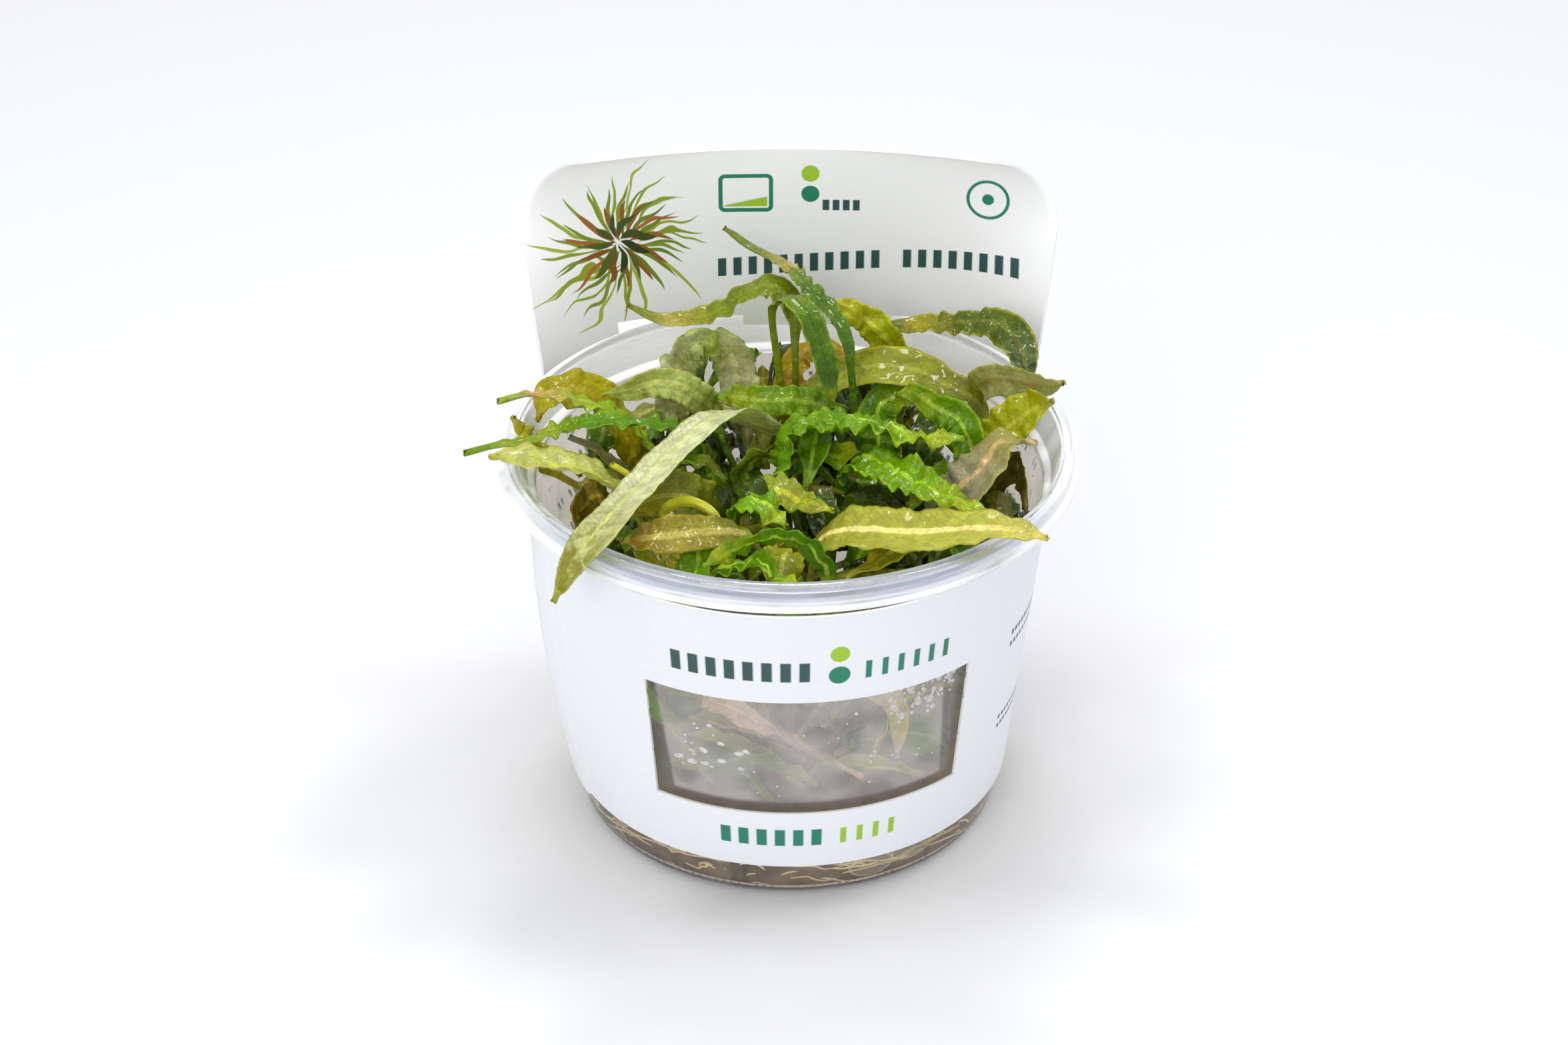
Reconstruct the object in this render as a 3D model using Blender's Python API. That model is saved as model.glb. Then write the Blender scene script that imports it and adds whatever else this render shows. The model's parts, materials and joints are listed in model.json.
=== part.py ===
# Tissue culture cup with Cryptocoryne crispatula plantlets.
# Lengths in this file are millimetres until they reach a mesh, which is in metres.
# The frame stands on the centre of the cup's flat base: +Z up, +Y towards the card's header,
# -Y towards the card's window.

import math

import bmesh
import bpy
import numpy as np
from mathutils import Vector
from mathutils.bvhtree import BVHTree

MM = 0.001
GAP = 0.3                   # room left between pieces that touch

# Cup: a clear tapered tub
BASE_RADIUS = 36.6          # flat part of the base
CORNER = 2.7                # rounded base corner
WALL_FOOT_RADIUS = 39.2     # outer wall, carried down to the base plane
WALL_TAPER = 0.112          # outer radius gained for each mm of height
WALL = 0.9
FLOOR = 1.0
SEAT_HEIGHT = 66.4          # where the wall steps out to the lid seat
RIM_TOP = 74.15
RIM_RADIUS = 52.5           # over the bead
CUP_STEPS = 48

# Sleeve: card band, header and slot
CARD = 0.5
CARD_OFFSET = 0.4           # card stands this far off the cup's wall
BAND_FOOT = 8.2
BAND_TOP = 65.6
HEADER_TOP = 109.6
HEADER_CORNER = 12.0
HEADER_HALF = 49.9          # half width of the header above the rim
HEADER_FOOT_HALF = 46.3     # half width where it passes the rim
HEADER_DEPTH = 45.5         # header's middle, behind the cup's axis
HEADER_EDGE = 57            # bearing of the header's side edges from the back, degrees
SLOT_EDGE = 36
SLOT_TOP = 74.7
TAB_EDGE = 9
TAB_FOOT = 72.7
WINDOW_FOOT, WINDOW_TOP = 20.8, 46.6
WINDOW_FROM, WINDOW_TO = 135.5, 214
FLAP_FROM, FLAP_TO = 243, 258

# Gel and crowns
GEL_TOP = 17.2
MENISCUS = 0.7
CROWN_TOP = 26.0
CROWN_RADIUS = 2.3
RINGS = (CROWN_RADIUS + 1.4, CROWN_RADIUS + 3.4)    # where stalks rise around a crown
CROWNS = {
    "crown_back": (3, 13),
    "crown_left": (-16, 3),
    "crown_right": (17, 1),
    "crown_front": (-3, -17),
}

LEAF_THICKNESS = 0.7
STALK_WIDTH = 1.5
STALK_RING_SHARE = 0.6      # a stalk has this share of the rings that a blade as long has


def smooth(low, high, value):
    t = min(max((value - low) / (high - low), 0.0), 1.0)
    return t * t * (3 - 2 * t)


def wall_radius(z):
    return WALL_FOOT_RADIUS + WALL_TAPER * z


def material(name, color, roughness, alpha=1.0, transmission=0.0):
    made = bpy.data.materials.new(name)
    made.use_nodes = True
    shader = made.node_tree.nodes["Principled BSDF"]
    shader.inputs["Base Color"].default_value = (*color, 1)
    shader.inputs["Roughness"].default_value = roughness
    shader.inputs["Metallic"].default_value = 0.0
    shader.inputs["Alpha"].default_value = alpha
    shader.inputs["Transmission Weight"].default_value = transmission
    return made


def add_object(name, points, faces, finish, sharp=40):
    mesh = bpy.data.meshes.new(name)
    mesh.from_pydata([Vector(p) * MM for p in points], [], faces)
    shape = bmesh.new()
    shape.from_mesh(mesh)
    bmesh.ops.recalc_face_normals(shape, faces=shape.faces)
    shape.to_mesh(mesh)
    shape.free()
    mesh.shade_smooth()
    mesh.set_sharp_from_angle(angle=math.radians(sharp))
    mesh.materials.append(finish)
    made = bpy.data.objects.new(name, mesh)
    bpy.context.collection.objects.link(made)
    return made


def turned(profile, steps):
    # profile runs from the axis at the bottom, round the outside, back to the axis
    points, faces, rings = [], [], []
    for radius, z in profile:
        if radius == 0:
            rings.append([len(points)])
            points.append((0, 0, z))
            continue
        rings.append([len(points) + i for i in range(steps)])
        for i in range(steps):
            turn = 2 * math.pi * i / steps
            points.append((radius * math.sin(turn), radius * math.cos(turn), z))
    for below, above in zip(rings, rings[1:]):
        for i in range(steps):
            j = (i + 1) % steps
            if len(below) == 1:
                faces.append((below[0], above[j], above[i]))
            elif len(above) == 1:
                faces.append((below[i], below[j], above[0]))
            else:
                faces.append((below[i], below[j], above[j], above[i]))
    return points, faces


def arc(center, radius, start, end, count):
    # points on a circle in the profile plane, angles in degrees from straight out
    turns = [math.radians(start + (end - start) * i / (count - 1)) for i in range(count)]
    return [(center[0] + radius * math.cos(t), center[1] + radius * math.sin(t)) for t in turns]


def cup_profile():
    seat_inner = wall_radius(SEAT_HEIGHT) - WALL
    outside = [(0, 0)] + arc((BASE_RADIUS, CORNER), CORNER, -90, 0, 4)
    outside += [
        (wall_radius(SEAT_HEIGHT), SEAT_HEIGHT), (48.2, 67.4), (49.75, 72.6),
        (50.4, 72.5), (50.5, 70.0), (50.9, 69.4), (52.2, 69.4), (RIM_RADIUS, 69.8),
        (RIM_RADIUS, 70.6), (51.5, 71.2), (51.35, 73.3), (50.9, 73.95),
    ]
    inside = [
        (50.2, RIM_TOP), (49.5, RIM_TOP), (48.95, 73.4), (47.4, 67.8),
        (seat_inner + 0.3, 66.9), (seat_inner, 66.0),
    ]
    inside += arc((BASE_RADIUS, CORNER + 0.2), CORNER - WALL, 0, -90, 3)
    return outside + inside + [(0, FLOOR)]


def add_cup(finish):
    points, faces = turned(cup_profile(), CUP_STEPS)
    return add_object("cup", points, faces, finish)


def header_point(side, z):
    # side runs from -1 to 1 across the header; the card curls forward at its edges
    rise = min(max((z - 72) / 25, 0), 1)
    half = HEADER_FOOT_HALF + (HEADER_HALF - HEADER_FOOT_HALF) * rise
    over = max(z - (HEADER_TOP - HEADER_CORNER), 0)
    half -= HEADER_CORNER - math.sqrt(max(HEADER_CORNER ** 2 - over ** 2, 0))
    up = smooth(72, HEADER_TOP, z)
    curl = 15.5 + (6.0 - 15.5) * up
    power = 4.5 + (2.2 - 4.5) * up
    return half * side, HEADER_DEPTH - curl * abs(side) ** power


def card_middle(bearing, z):
    # middle of the card's thickness, bearing in degrees from the back towards +X
    turn = math.radians(bearing)
    radius = wall_radius(z) + CARD_OFFSET + CARD / 2
    off_back = min(bearing % 360, 360 - bearing % 360)
    pull = smooth(38, 65.0, z)
    edge_sine = math.sin(math.radians(HEADER_EDGE))
    if off_back <= HEADER_EDGE:
        x, y = header_point(math.sin(turn) / edge_sine, z)
        cone_x, cone_y = radius * math.sin(turn), radius * math.cos(turn)
        x, y = cone_x + (x - cone_x) * pull, cone_y + (y - cone_y) * pull
        reach = math.hypot(x, y)
        if z <= BAND_TOP and reach < radius:
            x, y = x * radius / reach, y * radius / reach
        return Vector((x, y, z))
    edge_x, edge_y = header_point(1, z)
    spread = (math.hypot(edge_x, edge_y) - radius) * pull * (1 - smooth(HEADER_EDGE, 92, off_back))
    slack = 1.7 * math.exp(-((bearing % 360 - 265) / 28) ** 2)
    slack *= math.sin(math.pi * (z - BAND_FOOT) / (BAND_TOP - BAND_FOOT))
    radius += spread + slack
    return Vector((radius * math.sin(turn), radius * math.cos(turn), z))


def card_point(bearing, z, side):
    # side is 1 on the printed outer face and -1 on the inner face
    step = 0.5
    across = card_middle(bearing + step, z) - card_middle(bearing - step, z)
    lean = card_middle(bearing, z) - card_middle(bearing, z - step)
    normal = lean.cross(across).normalized()
    if normal.dot(card_middle(bearing, z).xy.to_3d()) < 0:
        normal.negate()
    lift = CARD / 2 * side
    if side > 0 and FLAP_FROM < bearing < FLAP_TO and z <= BAND_TOP:
        lift += 0.9 * CARD      # the glued overlap
    return card_middle(bearing, z) + normal * lift


def card_bearings():
    back = [0, TAB_EDGE, 18, 27, SLOT_EDGE, 43, 50, HEADER_EDGE]
    right = [65, 73, 82, 91, 100, 109, 118, 127]
    window = np.linspace(WINDOW_FROM, WINDOW_TO, 10).tolist()
    left = [221, 228, 235, FLAP_FROM, FLAP_FROM + 0.8, 250, FLAP_TO - 0.8, FLAP_TO,
            266, 274, 283, 293]
    return back + right + window + left + [360 - b for b in reversed(back[1:])]


def add_sleeve(finish):
    bearings = card_bearings()
    band = [BAND_FOOT, 14.5, WINDOW_FOOT, 29.5, 38, WINDOW_TOP, 52, 57, 61.5, BAND_TOP]
    header = [69, TAB_FOOT, SLOT_TOP, 82, 90, HEADER_TOP - HEADER_CORNER]
    corner = [HEADER_TOP - HEADER_CORNER * (1 - math.sin(math.radians(a)))
              for a in (22, 42, 60, 76, 90)]
    heights = band + header + corner
    count = len(bearings)

    def kept(column, row):
        left, right = bearings[column], bearings[(column + 1) % count] or 360
        middle = (left + right) / 2
        off_back = min(middle, 360 - middle)
        z = (heights[row] + heights[row + 1]) / 2
        if z > BAND_TOP and off_back > HEADER_EDGE:
            return False
        if WINDOW_FROM < middle < WINDOW_TO and WINDOW_FOOT < z < WINDOW_TOP:
            return False
        slot_top = TAB_FOOT if off_back < TAB_EDGE else SLOT_TOP
        return not (off_back < SLOT_EDGE and BAND_TOP < z < slot_top)

    cells = [(c, r) for c in range(count) for r in range(len(heights) - 1) if kept(c, r)]
    corners = sorted({((c + i) % count, r + j) for c, r in cells for i in (0, 1) for j in (0, 1)})
    index = {key: n for n, key in enumerate(corners)}
    outer = [card_point(bearings[c], heights[r], 1) for c, r in corners]
    inner = [card_point(bearings[c], heights[r], -1) for c, r in corners]
    faces, borders = [], {}
    for c, r in cells:
        d = (c + 1) % count
        loop = [index[c, r], index[d, r], index[d, r + 1], index[c, r + 1]]
        for face in (loop[:3], [loop[0], loop[2], loop[3]]):
            faces.append(face)
            faces.append([n + len(corners) for n in reversed(face)])
        for a, b in zip(loop, loop[1:] + loop[:1]):
            if borders.pop((b, a), None) is None:
                borders[a, b] = True
    for a, b in borders:
        faces.append([b, a, a + len(corners), b + len(corners)])
    return add_object("sleeve", outer + inner, faces, finish, sharp=60)


def add_gel(finish):
    def side(z):
        return wall_radius(z) - WALL - GAP

    foot = FLOOR + GAP
    profile = [(0, foot), (BASE_RADIUS - 0.6, foot), (BASE_RADIUS + 1.0, foot + 1.0),
               (side(foot + 2.6) - 0.1, foot + 2.6), (side(GEL_TOP), GEL_TOP + MENISCUS),
               (side(GEL_TOP) - 1.2, GEL_TOP + 0.1), (side(GEL_TOP) - 4, GEL_TOP), (0, GEL_TOP)]
    points, faces = turned(profile, CUP_STEPS)
    return add_object("gel", points, faces, finish)


def add_crown(name, place, finish):
    foot = GEL_TOP + GAP
    knots = [(0, foot), (1.7, foot), (CROWN_RADIUS, foot + 1.5), (1.9, foot + 3.2),
             (CROWN_RADIUS - 0.1, foot + 5), (1.3, CROWN_TOP - 0.8), (0, CROWN_TOP)]
    points, faces = turned(knots, 10)
    return add_object(name, [(x + place[0], y + place[1], z) for x, y, z in points], faces, finish)


def through(points, shares):
    # points on a smooth curve through the route's points, at these shares of its length
    given = [Vector(p) for p in points]
    padded = [2 * given[0] - given[1]] + given + [2 * given[-1] - given[-2]]
    fine = []
    for p0, p1, p2, p3 in zip(padded, padded[1:], padded[2:], padded[3:]):
        for i in range(12):
            t = i / 12
            fine.append(0.5 * (2 * p1 + (p2 - p0) * t + (2 * p0 - 5 * p1 + 4 * p2 - p3) * t ** 2
                               + (3 * p1 - p0 - 3 * p2 + p3) * t ** 3))
    fine.append(given[-1])
    walked = [0.0]
    for a, b in zip(fine, fine[1:]):
        walked.append(walked[-1] + (b - a).length)
    spaced, k = [], 0
    for share in shares:
        goal = walked[-1] * share
        while k < len(fine) - 2 and walked[k + 1] < goal:
            k += 1
        past = (goal - walked[k]) / max(walked[k + 1] - walked[k], 1e-9)
        spaced.append(fine[k].lerp(fine[k + 1], min(max(past, 0), 1)))
    return spaced


def stalk_rings(leaf):
    return max(3, round(leaf["steps"] * leaf["stalk"] * STALK_RING_SHARE))


def ring_shares(leaf):
    # where the rings stand along the leaf, from 0 to 1: closer together in the blade
    below, stalk = stalk_rings(leaf), leaf["stalk"]
    above = leaf["steps"] - below
    shares = [stalk * i / below for i in range(below)]
    return shares + [stalk + (1 - stalk) * i / (above - 1) for i in range(above)]


def leaf_half_width(t, leaf):
    # a narrow stalk, then a blade that widens quickly, keeps its width and tapers to its tip
    if t < leaf["stalk"]:
        return STALK_WIDTH / 2
    s = (t - leaf["stalk"]) / (1 - leaf["stalk"])
    opened = min(s / 0.3, 1) * (2 - min(s / 0.3, 1))
    tapered = 1 - max(s - leaf["full"], 0) / (1 - leaf["full"])
    half = leaf["width"] / 2 * opened ** 0.8 * tapered ** 0.6
    return max(STALK_WIDTH / 2, half) if s < 0.9 else max(0.35, half)


def leaf_points(route, leaf, extra=0.0):
    # rings of four points: left edge, upper rib, right edge, lower rib
    shares = ring_shares(leaf)
    line = through(route, shares)
    start = (line[1] - line[0]).normalized()
    heading = (line[-1] - line[0]).xy.to_3d()
    side = Vector((0, 0, 1)).cross(heading).normalized()
    side = (side - start * side.dot(start)).normalized()
    rings, last = [], start
    for i, middle in enumerate(line):
        ahead = line[min(i + 1, len(line) - 1)] - line[max(i - 1, 0)]
        tangent = ahead.normalized()
        side = last.rotation_difference(tangent) @ side
        last = tangent
        t = shares[i]
        roll = math.radians(leaf["roll"][0] + (leaf["roll"][1] - leaf["roll"][0]) * t)
        normal = tangent.cross(side)
        across = side * math.cos(roll) + normal * math.sin(roll)
        over = normal * math.cos(roll) - side * math.sin(roll)
        half = leaf_half_width(t, leaf) + extra / 2
        thick = LEAF_THICKNESS * (1.4 if t < leaf["stalk"] else 1.0) + extra
        blade = min(max((t - leaf["stalk"]) * 6, 0), 1)
        fold = half * leaf["fold"] * blade
        wave = leaf["wave"] * blade * (1 if i % 2 else -1)
        rings.append([middle - across * half + over * (fold + wave), middle + over * thick / 2,
                      middle + across * half + over * (fold - wave), middle - over * thick / 2])
    return rings


def leaf_faces(count):
    # both skins split along the same slant, so that a waved blade keeps its thickness
    faces = [(0, 3, 1), (1, 3, 2)]
    for here in range(0, 4 * (count - 1), 4):
        after = here + 4
        for edge in (0, 2):
            for rib in (1, 3):
                faces.append((here + edge, here + rib, after + rib))
                faces.append((here + edge, after + rib, after + edge))
    faces += [(after, after + 1, after + 3), (after + 1, after + 2, after + 3)]
    return faces


def leaf_route(leaf, shift, bow, turn, ring):
    # the stalk starts beside its crown and bows to one side; past it the blade shifts
    crown = Vector(CROWNS[leaf["crown"]])
    toward = Vector(leaf["route"][0]).xy - crown
    bearing = math.atan2(toward.x, toward.y) + math.radians(turn)
    x, y = crown + Vector((math.sin(bearing), math.cos(bearing))) * ring
    route = [Vector((x, y, GEL_TOP + 0.8)), Vector((x, y, GEL_TOP + 5))]
    for n, point in enumerate(leaf["route"]):
        route.append(Vector(point) + (shift * 0.6 + bow if n == 0 else shift))
    return route


def leaf(crown, route, width, stalk=0.4, full=0.5, roll=(0, 0), fold=0.15, wave=0.0,
         color="green", steps=10):
    return {"crown": crown, "route": route, "width": width, "stalk": stalk, "full": full,
            "roll": roll, "fold": fold, "wave": wave, "color": color, "steps": steps}


# Leaves that stand clear in the mouth, each along the points that its midrib passes
LEAVES = {
    "leaf_long_pale": leaf("crown_right", [
        (14, 4, 45), (10.5, 5, 64), (3, 7, 68.5), (-1, 7, 70.5), (-9, 4, 76), (-12, -2, 80),
        (-19, -12, 79.5), (-26, -24, 78), (-32, -36, 77), (-36.5, -41, 73.5),
        (-40.5, -43, 66)], 9.2, stalk=0.36, full=0.85, fold=0.05, color="pale", steps=16),
    "leaf_tail_back": leaf("crown_back", [
        (3, 15, 45), (1, 16, 74), (1, 21, 88), (-2, 24, 91.5), (-6, 26, 91), (-10, 26, 87.5),
        (-16, 27, 84), (-24, 28, 83), (-30, 29, 85.5)], 5.5, stalk=0.6, roll=(-20, -50),
        color="olive", steps=12),
    "leaf_hoop": leaf("crown_back", [
        (0, 12, 50), (-1, 13, 74), (-3, 16, 84), (-3, 15, 91), (-0.5, 12, 96), (3, 7, 95.5),
        (6, 3, 89), (8, 0, 80)], 5.0, stalk=0.7, full=0.7, color="green", steps=14),
    "leaf_spear": leaf("crown_right", [
        (14, 7, 50), (12, 8, 71), (11, 11, 84.5), (9, 15, 89.3), (4, 20, 93), (1, 25, 94.2),
        (-5, 32, 95), (-9, 35, 95.5), (-12, 37, 97.5)], 3.6, stalk=0.6, wave=0.3, color="green",
        steps=12),
    "leaf_crinkled_back": leaf("crown_right", [
        (18, 12, 55), (20, 21, 74), (19, 23, 80), (14, 24.5, 85), (8, 27, 87.5)], 6.4, stalk=0.62,
        full=0.7, roll=(-40, -40), wave=0.5, color="lime", steps=11),
    "leaf_broad_arch": leaf("crown_back", [
        (5, 15, 50), (3, 18, 70), (7, 18, 75), (14, 17, 78.8), (20.5, 15, 80), (25, 14, 79),
        (30, 11.5, 77.3), (34, 10, 75.5), (36.5, 8, 70.5)], 8.6, stalk=0.42, full=0.7, roll=(35, 35),
        fold=0.1, color="olive", steps=13),
    "leaf_right_arch": leaf("crown_right", [
        (27, 6, 45), (38, 11, 66), (43, 13.5, 77), (43, 17, 81.4), (41, 21, 83.5), (37, 24, 84.7),
        (31, 28, 82), (24, 30.5, 80.5), (16, 31, 79.5)], 6.8, stalk=0.62, full=0.35,
        roll=(-25, -25), wave=0.4, color="olive", steps=14),
    "leaf_right_pale": leaf("crown_right", [
        (27, 9, 55), (33, 14, 71), (33.5, 12, 78), (36, 9.5, 80.5), (40, 8, 80.8), (44.3, 6, 81.2),
        (48, 4, 82.7)], 6.0, stalk=0.72, full=0.75, roll=(25, 25), wave=0.3, color="pale", steps=11),
    "leaf_right_cup": leaf("crown_right", [
        (28, -2, 55), (35, -1, 70), (40.4, -0.5, 77), (43, -1, 79.3), (47, -3, 83)], 9.5,
        stalk=0.68, full=0.75, roll=(30, 30), fold=0.2, color="lime"),
    "leaf_right_glassy": leaf("crown_right", [
        (24, -8, 55), (29.5, -13.5, 70), (33.5, -12, 74), (38, -9, 77.5), (44, -9, 78)], 11,
        stalk=0.48, full=0.75, roll=(25, 25), wave=0.3, color="glassy"),
    "leaf_right_wall": leaf("crown_right", [
        (29, 3, 45), (37, 3, 60), (41, -1, 68), (42, -7, 68.5), (42, -13, 66.5)], 7.5,
        stalk=0.45, roll=(50, 50), color="brown"),
    "leaf_front_right": leaf("crown_front", [
        (3, -22, 50), (5, -24, 66), (11, -27.5, 71), (19, -31, 72.5), (27, -33, 74.2),
        (32, -34.5, 75.5), (36, -36, 76.6), (44, -40, 77)], 11.4, stalk=0.45, full=0.65, roll=(25, 0),
        fold=0.1, color="pale", steps=12),
    "leaf_middle_bright": leaf("crown_back", [
        (3, 1, 50), (-0.5, -2.5, 70), (4, 1.8, 75), (11.5, 1, 76), (16, 0, 75.7), (20, -2, 75.5),
        (25, -4, 75.7), (32, -6, 76.7)], 9.5, stalk=0.52, full=0.65, roll=(45, 45),
        wave=0.3, color="bright", steps=11),
    "leaf_diagonal_bright": leaf("crown_right", [
        (11, -2, 55), (11, -3, 70.5), (16, -7, 72.3), (20, -11, 72.3), (23, -14.5, 72.5),
        (26.5, -18.5, 73), (30, -22, 73.3), (35, -26, 73)], 7.6, stalk=0.5, full=0.65, roll=(20, 20),
        wave=0.4, color="bright", steps=11),
    "leaf_left_serrated": leaf("crown_left", [
        (-15, 5, 50), (-17, 4, 71), (-22, 2, 75.3), (-30, 0, 76.9), (-37, -1, 77.1),
        (-43, -4, 76.9), (-47.5, -7, 76.6), (-53, -8, 76.6), (-58, -8, 75)], 5, stalk=0.48,
        wave=0.4, color="bright", steps=13),
    "leaf_left_hump": leaf("crown_left", [
        (-24, 10, 50), (-31, 12.5, 68), (-34.5, 12.5, 74.5), (-38, 11, 77), (-41.5, 9.5, 78),
        (-45, 8, 76.5), (-46, 6.5, 73.5)], 8, stalk=0.55, full=0.7, roll=(-20, -20), wave=0.4,
        color="brown", steps=11),
    "leaf_left_folded": leaf("crown_left", [
        (-23, -8, 50), (-29, -12, 68), (-34, -12.5, 72.5), (-38.5, -13.5, 75), (-43, -14, 76),
        (-47, -13.5, 76.8), (-53, -13, 77.2)], 10, stalk=0.6, full=0.9, fold=0.35,
        color="pale", steps=11),
    "leaf_left_green": leaf("crown_left", [
        (-20, 6, 55), (-27, 6, 71), (-33, 6, 76), (-37.5, 5, 78.3), (-42, 3, 80.7),
        (-47, 2, 81.5), (-52.5, 1, 80.5)], 6, stalk=0.5, wave=0.4, color="green", steps=11),
    "leaf_left_drape": leaf("crown_left", [
        (-24, 4, 48), (-36, 3, 60), (-42, 0, 66), (-44.8, -0.7, 69.5), (-46.2, -0.6, 72.5),
        (-47.6, -1.1, 75), (-48.9, -2.4, 77), (-49.6, -1.6, 79)], 4.6, stalk=0.78, full=0.6,
        roll=(-40, -40), color="lime"),
    "leaf_left_grey": leaf("crown_left", [
        (-21, 3, 50), (-28, 0, 64), (-32, 1, 67.5), (-36.5, 4, 70), (-40, 6, 70.5)], 5.2,
        stalk=0.5, color="glassy"),
    "leaf_front_left": leaf("crown_front", [
        (-3, -24, 50), (-4, -27, 66), (-8, -29, 70.5), (-12, -31, 72.8), (-17, -33.5, 74),
        (-23, -34.5, 73.6), (-29, -33.5, 72.5)], 7.0, stalk=0.68, full=0.75, roll=(-25, -25), wave=0.3,
        color="brown", steps=11),
    "leaf_front_green": leaf("crown_front", [
        (2, -27, 50), (6.5, -35.5, 66), (3.5, -36.3, 73), (0.7, -36.7, 75), (-2.8, -36.9, 75.3),
        (-6.8, -37.6, 74.6), (-10.7, -38.6, 73), (-14.8, -38.7, 70.5)], 4.6, stalk=0.62, full=0.8,
        roll=(30, 30), wave=0.3, color="bright", steps=11),
    "leaf_front_pale": leaf("crown_front", [
        (-6, -12, 50), (-6, -11, 67), (-3, -12, 70), (1, -14.5, 69.3), (8, -18, 69)], 7.5,
        stalk=0.62, roll=(20, 20), wave=0.3, color="green"),
    "stalk_yellow": leaf("crown_front", [
        (-19, -19, 50), (-22, -21, 69), (-19.5, -22, 73.5), (-15, -23, 73), (-12.7, -25, 71.3),
        (-13.3, -27.5, 67)], 1.8, stalk=0.55, full=0.9, color="yellow", steps=11),
    "leaf_crumpled_left": leaf("crown_left", [
        (-19, 14, 52), (-21.5, 19, 70), (-20, 22, 77.5), (-16, 23, 80.5), (-12.5, 23.5, 77.5)], 7,
        stalk=0.66, full=0.75, roll=(0, 40), wave=0.5, color="glassy"),
    "leaf_crumpled_back": leaf("crown_back", [
        (-6, 17, 52), (-8.5, 20, 68), (-10, 25, 74), (-13, 28, 77.5), (-17.5, 30, 76)], 7.5,
        stalk=0.64, full=0.75, roll=(0, -40), wave=0.5, color="glassy"),
    "leaf_orange_back": leaf("crown_back", [
        (2, 19, 50), (0, 26, 66), (1, 29.5, 73.5), (7, 31, 75.5), (13, 29, 72)], 6, stalk=0.5,
        roll=(0, 30), color="orange"),
    "leaf_right_small": leaf("crown_right", [
        (25, -6, 50), (31, -11, 63), (35, -14, 68.5), (38, -15, 68.5), (40, -17.5, 65.5)], 7,
        stalk=0.5, roll=(30, 30), color="dark"),
    "leaf_right_bright": leaf("crown_right", [
        (24, -3, 50), (34.5, -1.5, 66), (33.7, 0.2, 73), (32.3, 1.9, 75.5), (29.3, 4, 76.5),
        (25.5, 5.7, 77.5), (23.7, 8.3, 78), (21.2, 10.5, 76)], 6.4, stalk=0.62, roll=(-30, -30),
        wave=0.3, color="bright", steps=11),
    "leaf_left_smoky": leaf("crown_left", [
        (-16, 12, 52), (-13, 16.5, 68), (-15, 14.5, 72.5), (-16.7, 12, 75.5), (-19.2, 11, 78),
        (-23.9, 11, 79), (-28, 10, 78), (-34, 11, 76.5)], 5.6, stalk=0.64, full=0.6,
        roll=(-30, -30), color="pale", steps=11),
    "leaf_middle_back": leaf("crown_back", [
        (9, 10, 50), (9.5, 12, 66), (7.5, 11.5, 72.5), (3.8, 9.8, 75.6), (-0.5, 9.2, 76.2),
        (-5.3, 9.8, 75.8), (-9.6, 11.7, 75.5), (-13.5, 14.6, 74)], 5.4, stalk=0.6, full=0.7,
        roll=(-30, -30), wave=0.5, color="bright", steps=11),
    "leaf_under_arch": leaf("crown_right", [
        (14, 4, 52), (9.8, 8, 66), (9.3, 11.2, 72.5), (11.8, 12.6, 75), (15.7, 13.7, 75.2),
        (19.2, 14.2, 73)], 7, stalk=0.6, full=0.7, roll=(30, 30), wave=0.4, color="bright"),
    "leaf_middle_dark": leaf("crown_back", [
        (-4, 8, 50), (-7, 3, 60), (-7.5, 2.6, 65), (-6, 3.4, 67.6), (-3, 4.4, 68), (0, 4, 66)], 7,
        stalk=0.55, full=0.7, roll=(25, 25), wave=0.4, color="green"),
    "leaf_front_dark": leaf("crown_right", [
        (12, -3, 48), (8.5, -3.5, 59), (7.4, -5, 65), (10.4, -6, 67), (15.1, -8, 67),
        (19.3, -12, 64.5)], 8.5, stalk=0.55, full=0.7, roll=(30, 30), wave=0.4, color="dark"),
    "leaf_front_olive": leaf("crown_front", [
        (-10, -16, 46), (-12, -13.5, 61), (-14.2, -16, 67), (-19.1, -18, 69.5), (-24.2, -20, 69.6),
        (-28.7, -22, 67.5)], 9, stalk=0.55, full=0.7, roll=(-25, -25), color="olive"),
    "leaf_left_brown": leaf("crown_left", [
        (-27, -1, 45), (-32, 0, 57), (-33.6, -4, 63), (-35.9, -7.5, 65.5), (-37.5, -11, 65),
        (-38, -15, 62)], 7, stalk=0.55, full=0.7, roll=(-30, -30), wave=0.3, color="brown"),
    "leaf_window_pink": leaf("crown_front", [
        (-10, -27, 34), (-16, -34, 42), (-8, -38, 40), (2, -38.5, 34), (13, -36.5, 25)], 5.5,
        stalk=0.3, roll=(0, 80), color="brown", steps=11),
    "leaf_window_curved": leaf("crown_front", [
        (7, -26, 36), (13, -33, 44), (19, -34, 38), (19, -33, 27)], 5, stalk=0.35,
        roll=(0, 80), color="pale"),
    "leaf_window_green": leaf("crown_front", [
        (-14, -20, 26), (-24, -29, 33), (-28, -27, 42), (-25, -29, 49)], 6, stalk=0.3,
        roll=(0, 60), color="green"),
}

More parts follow.
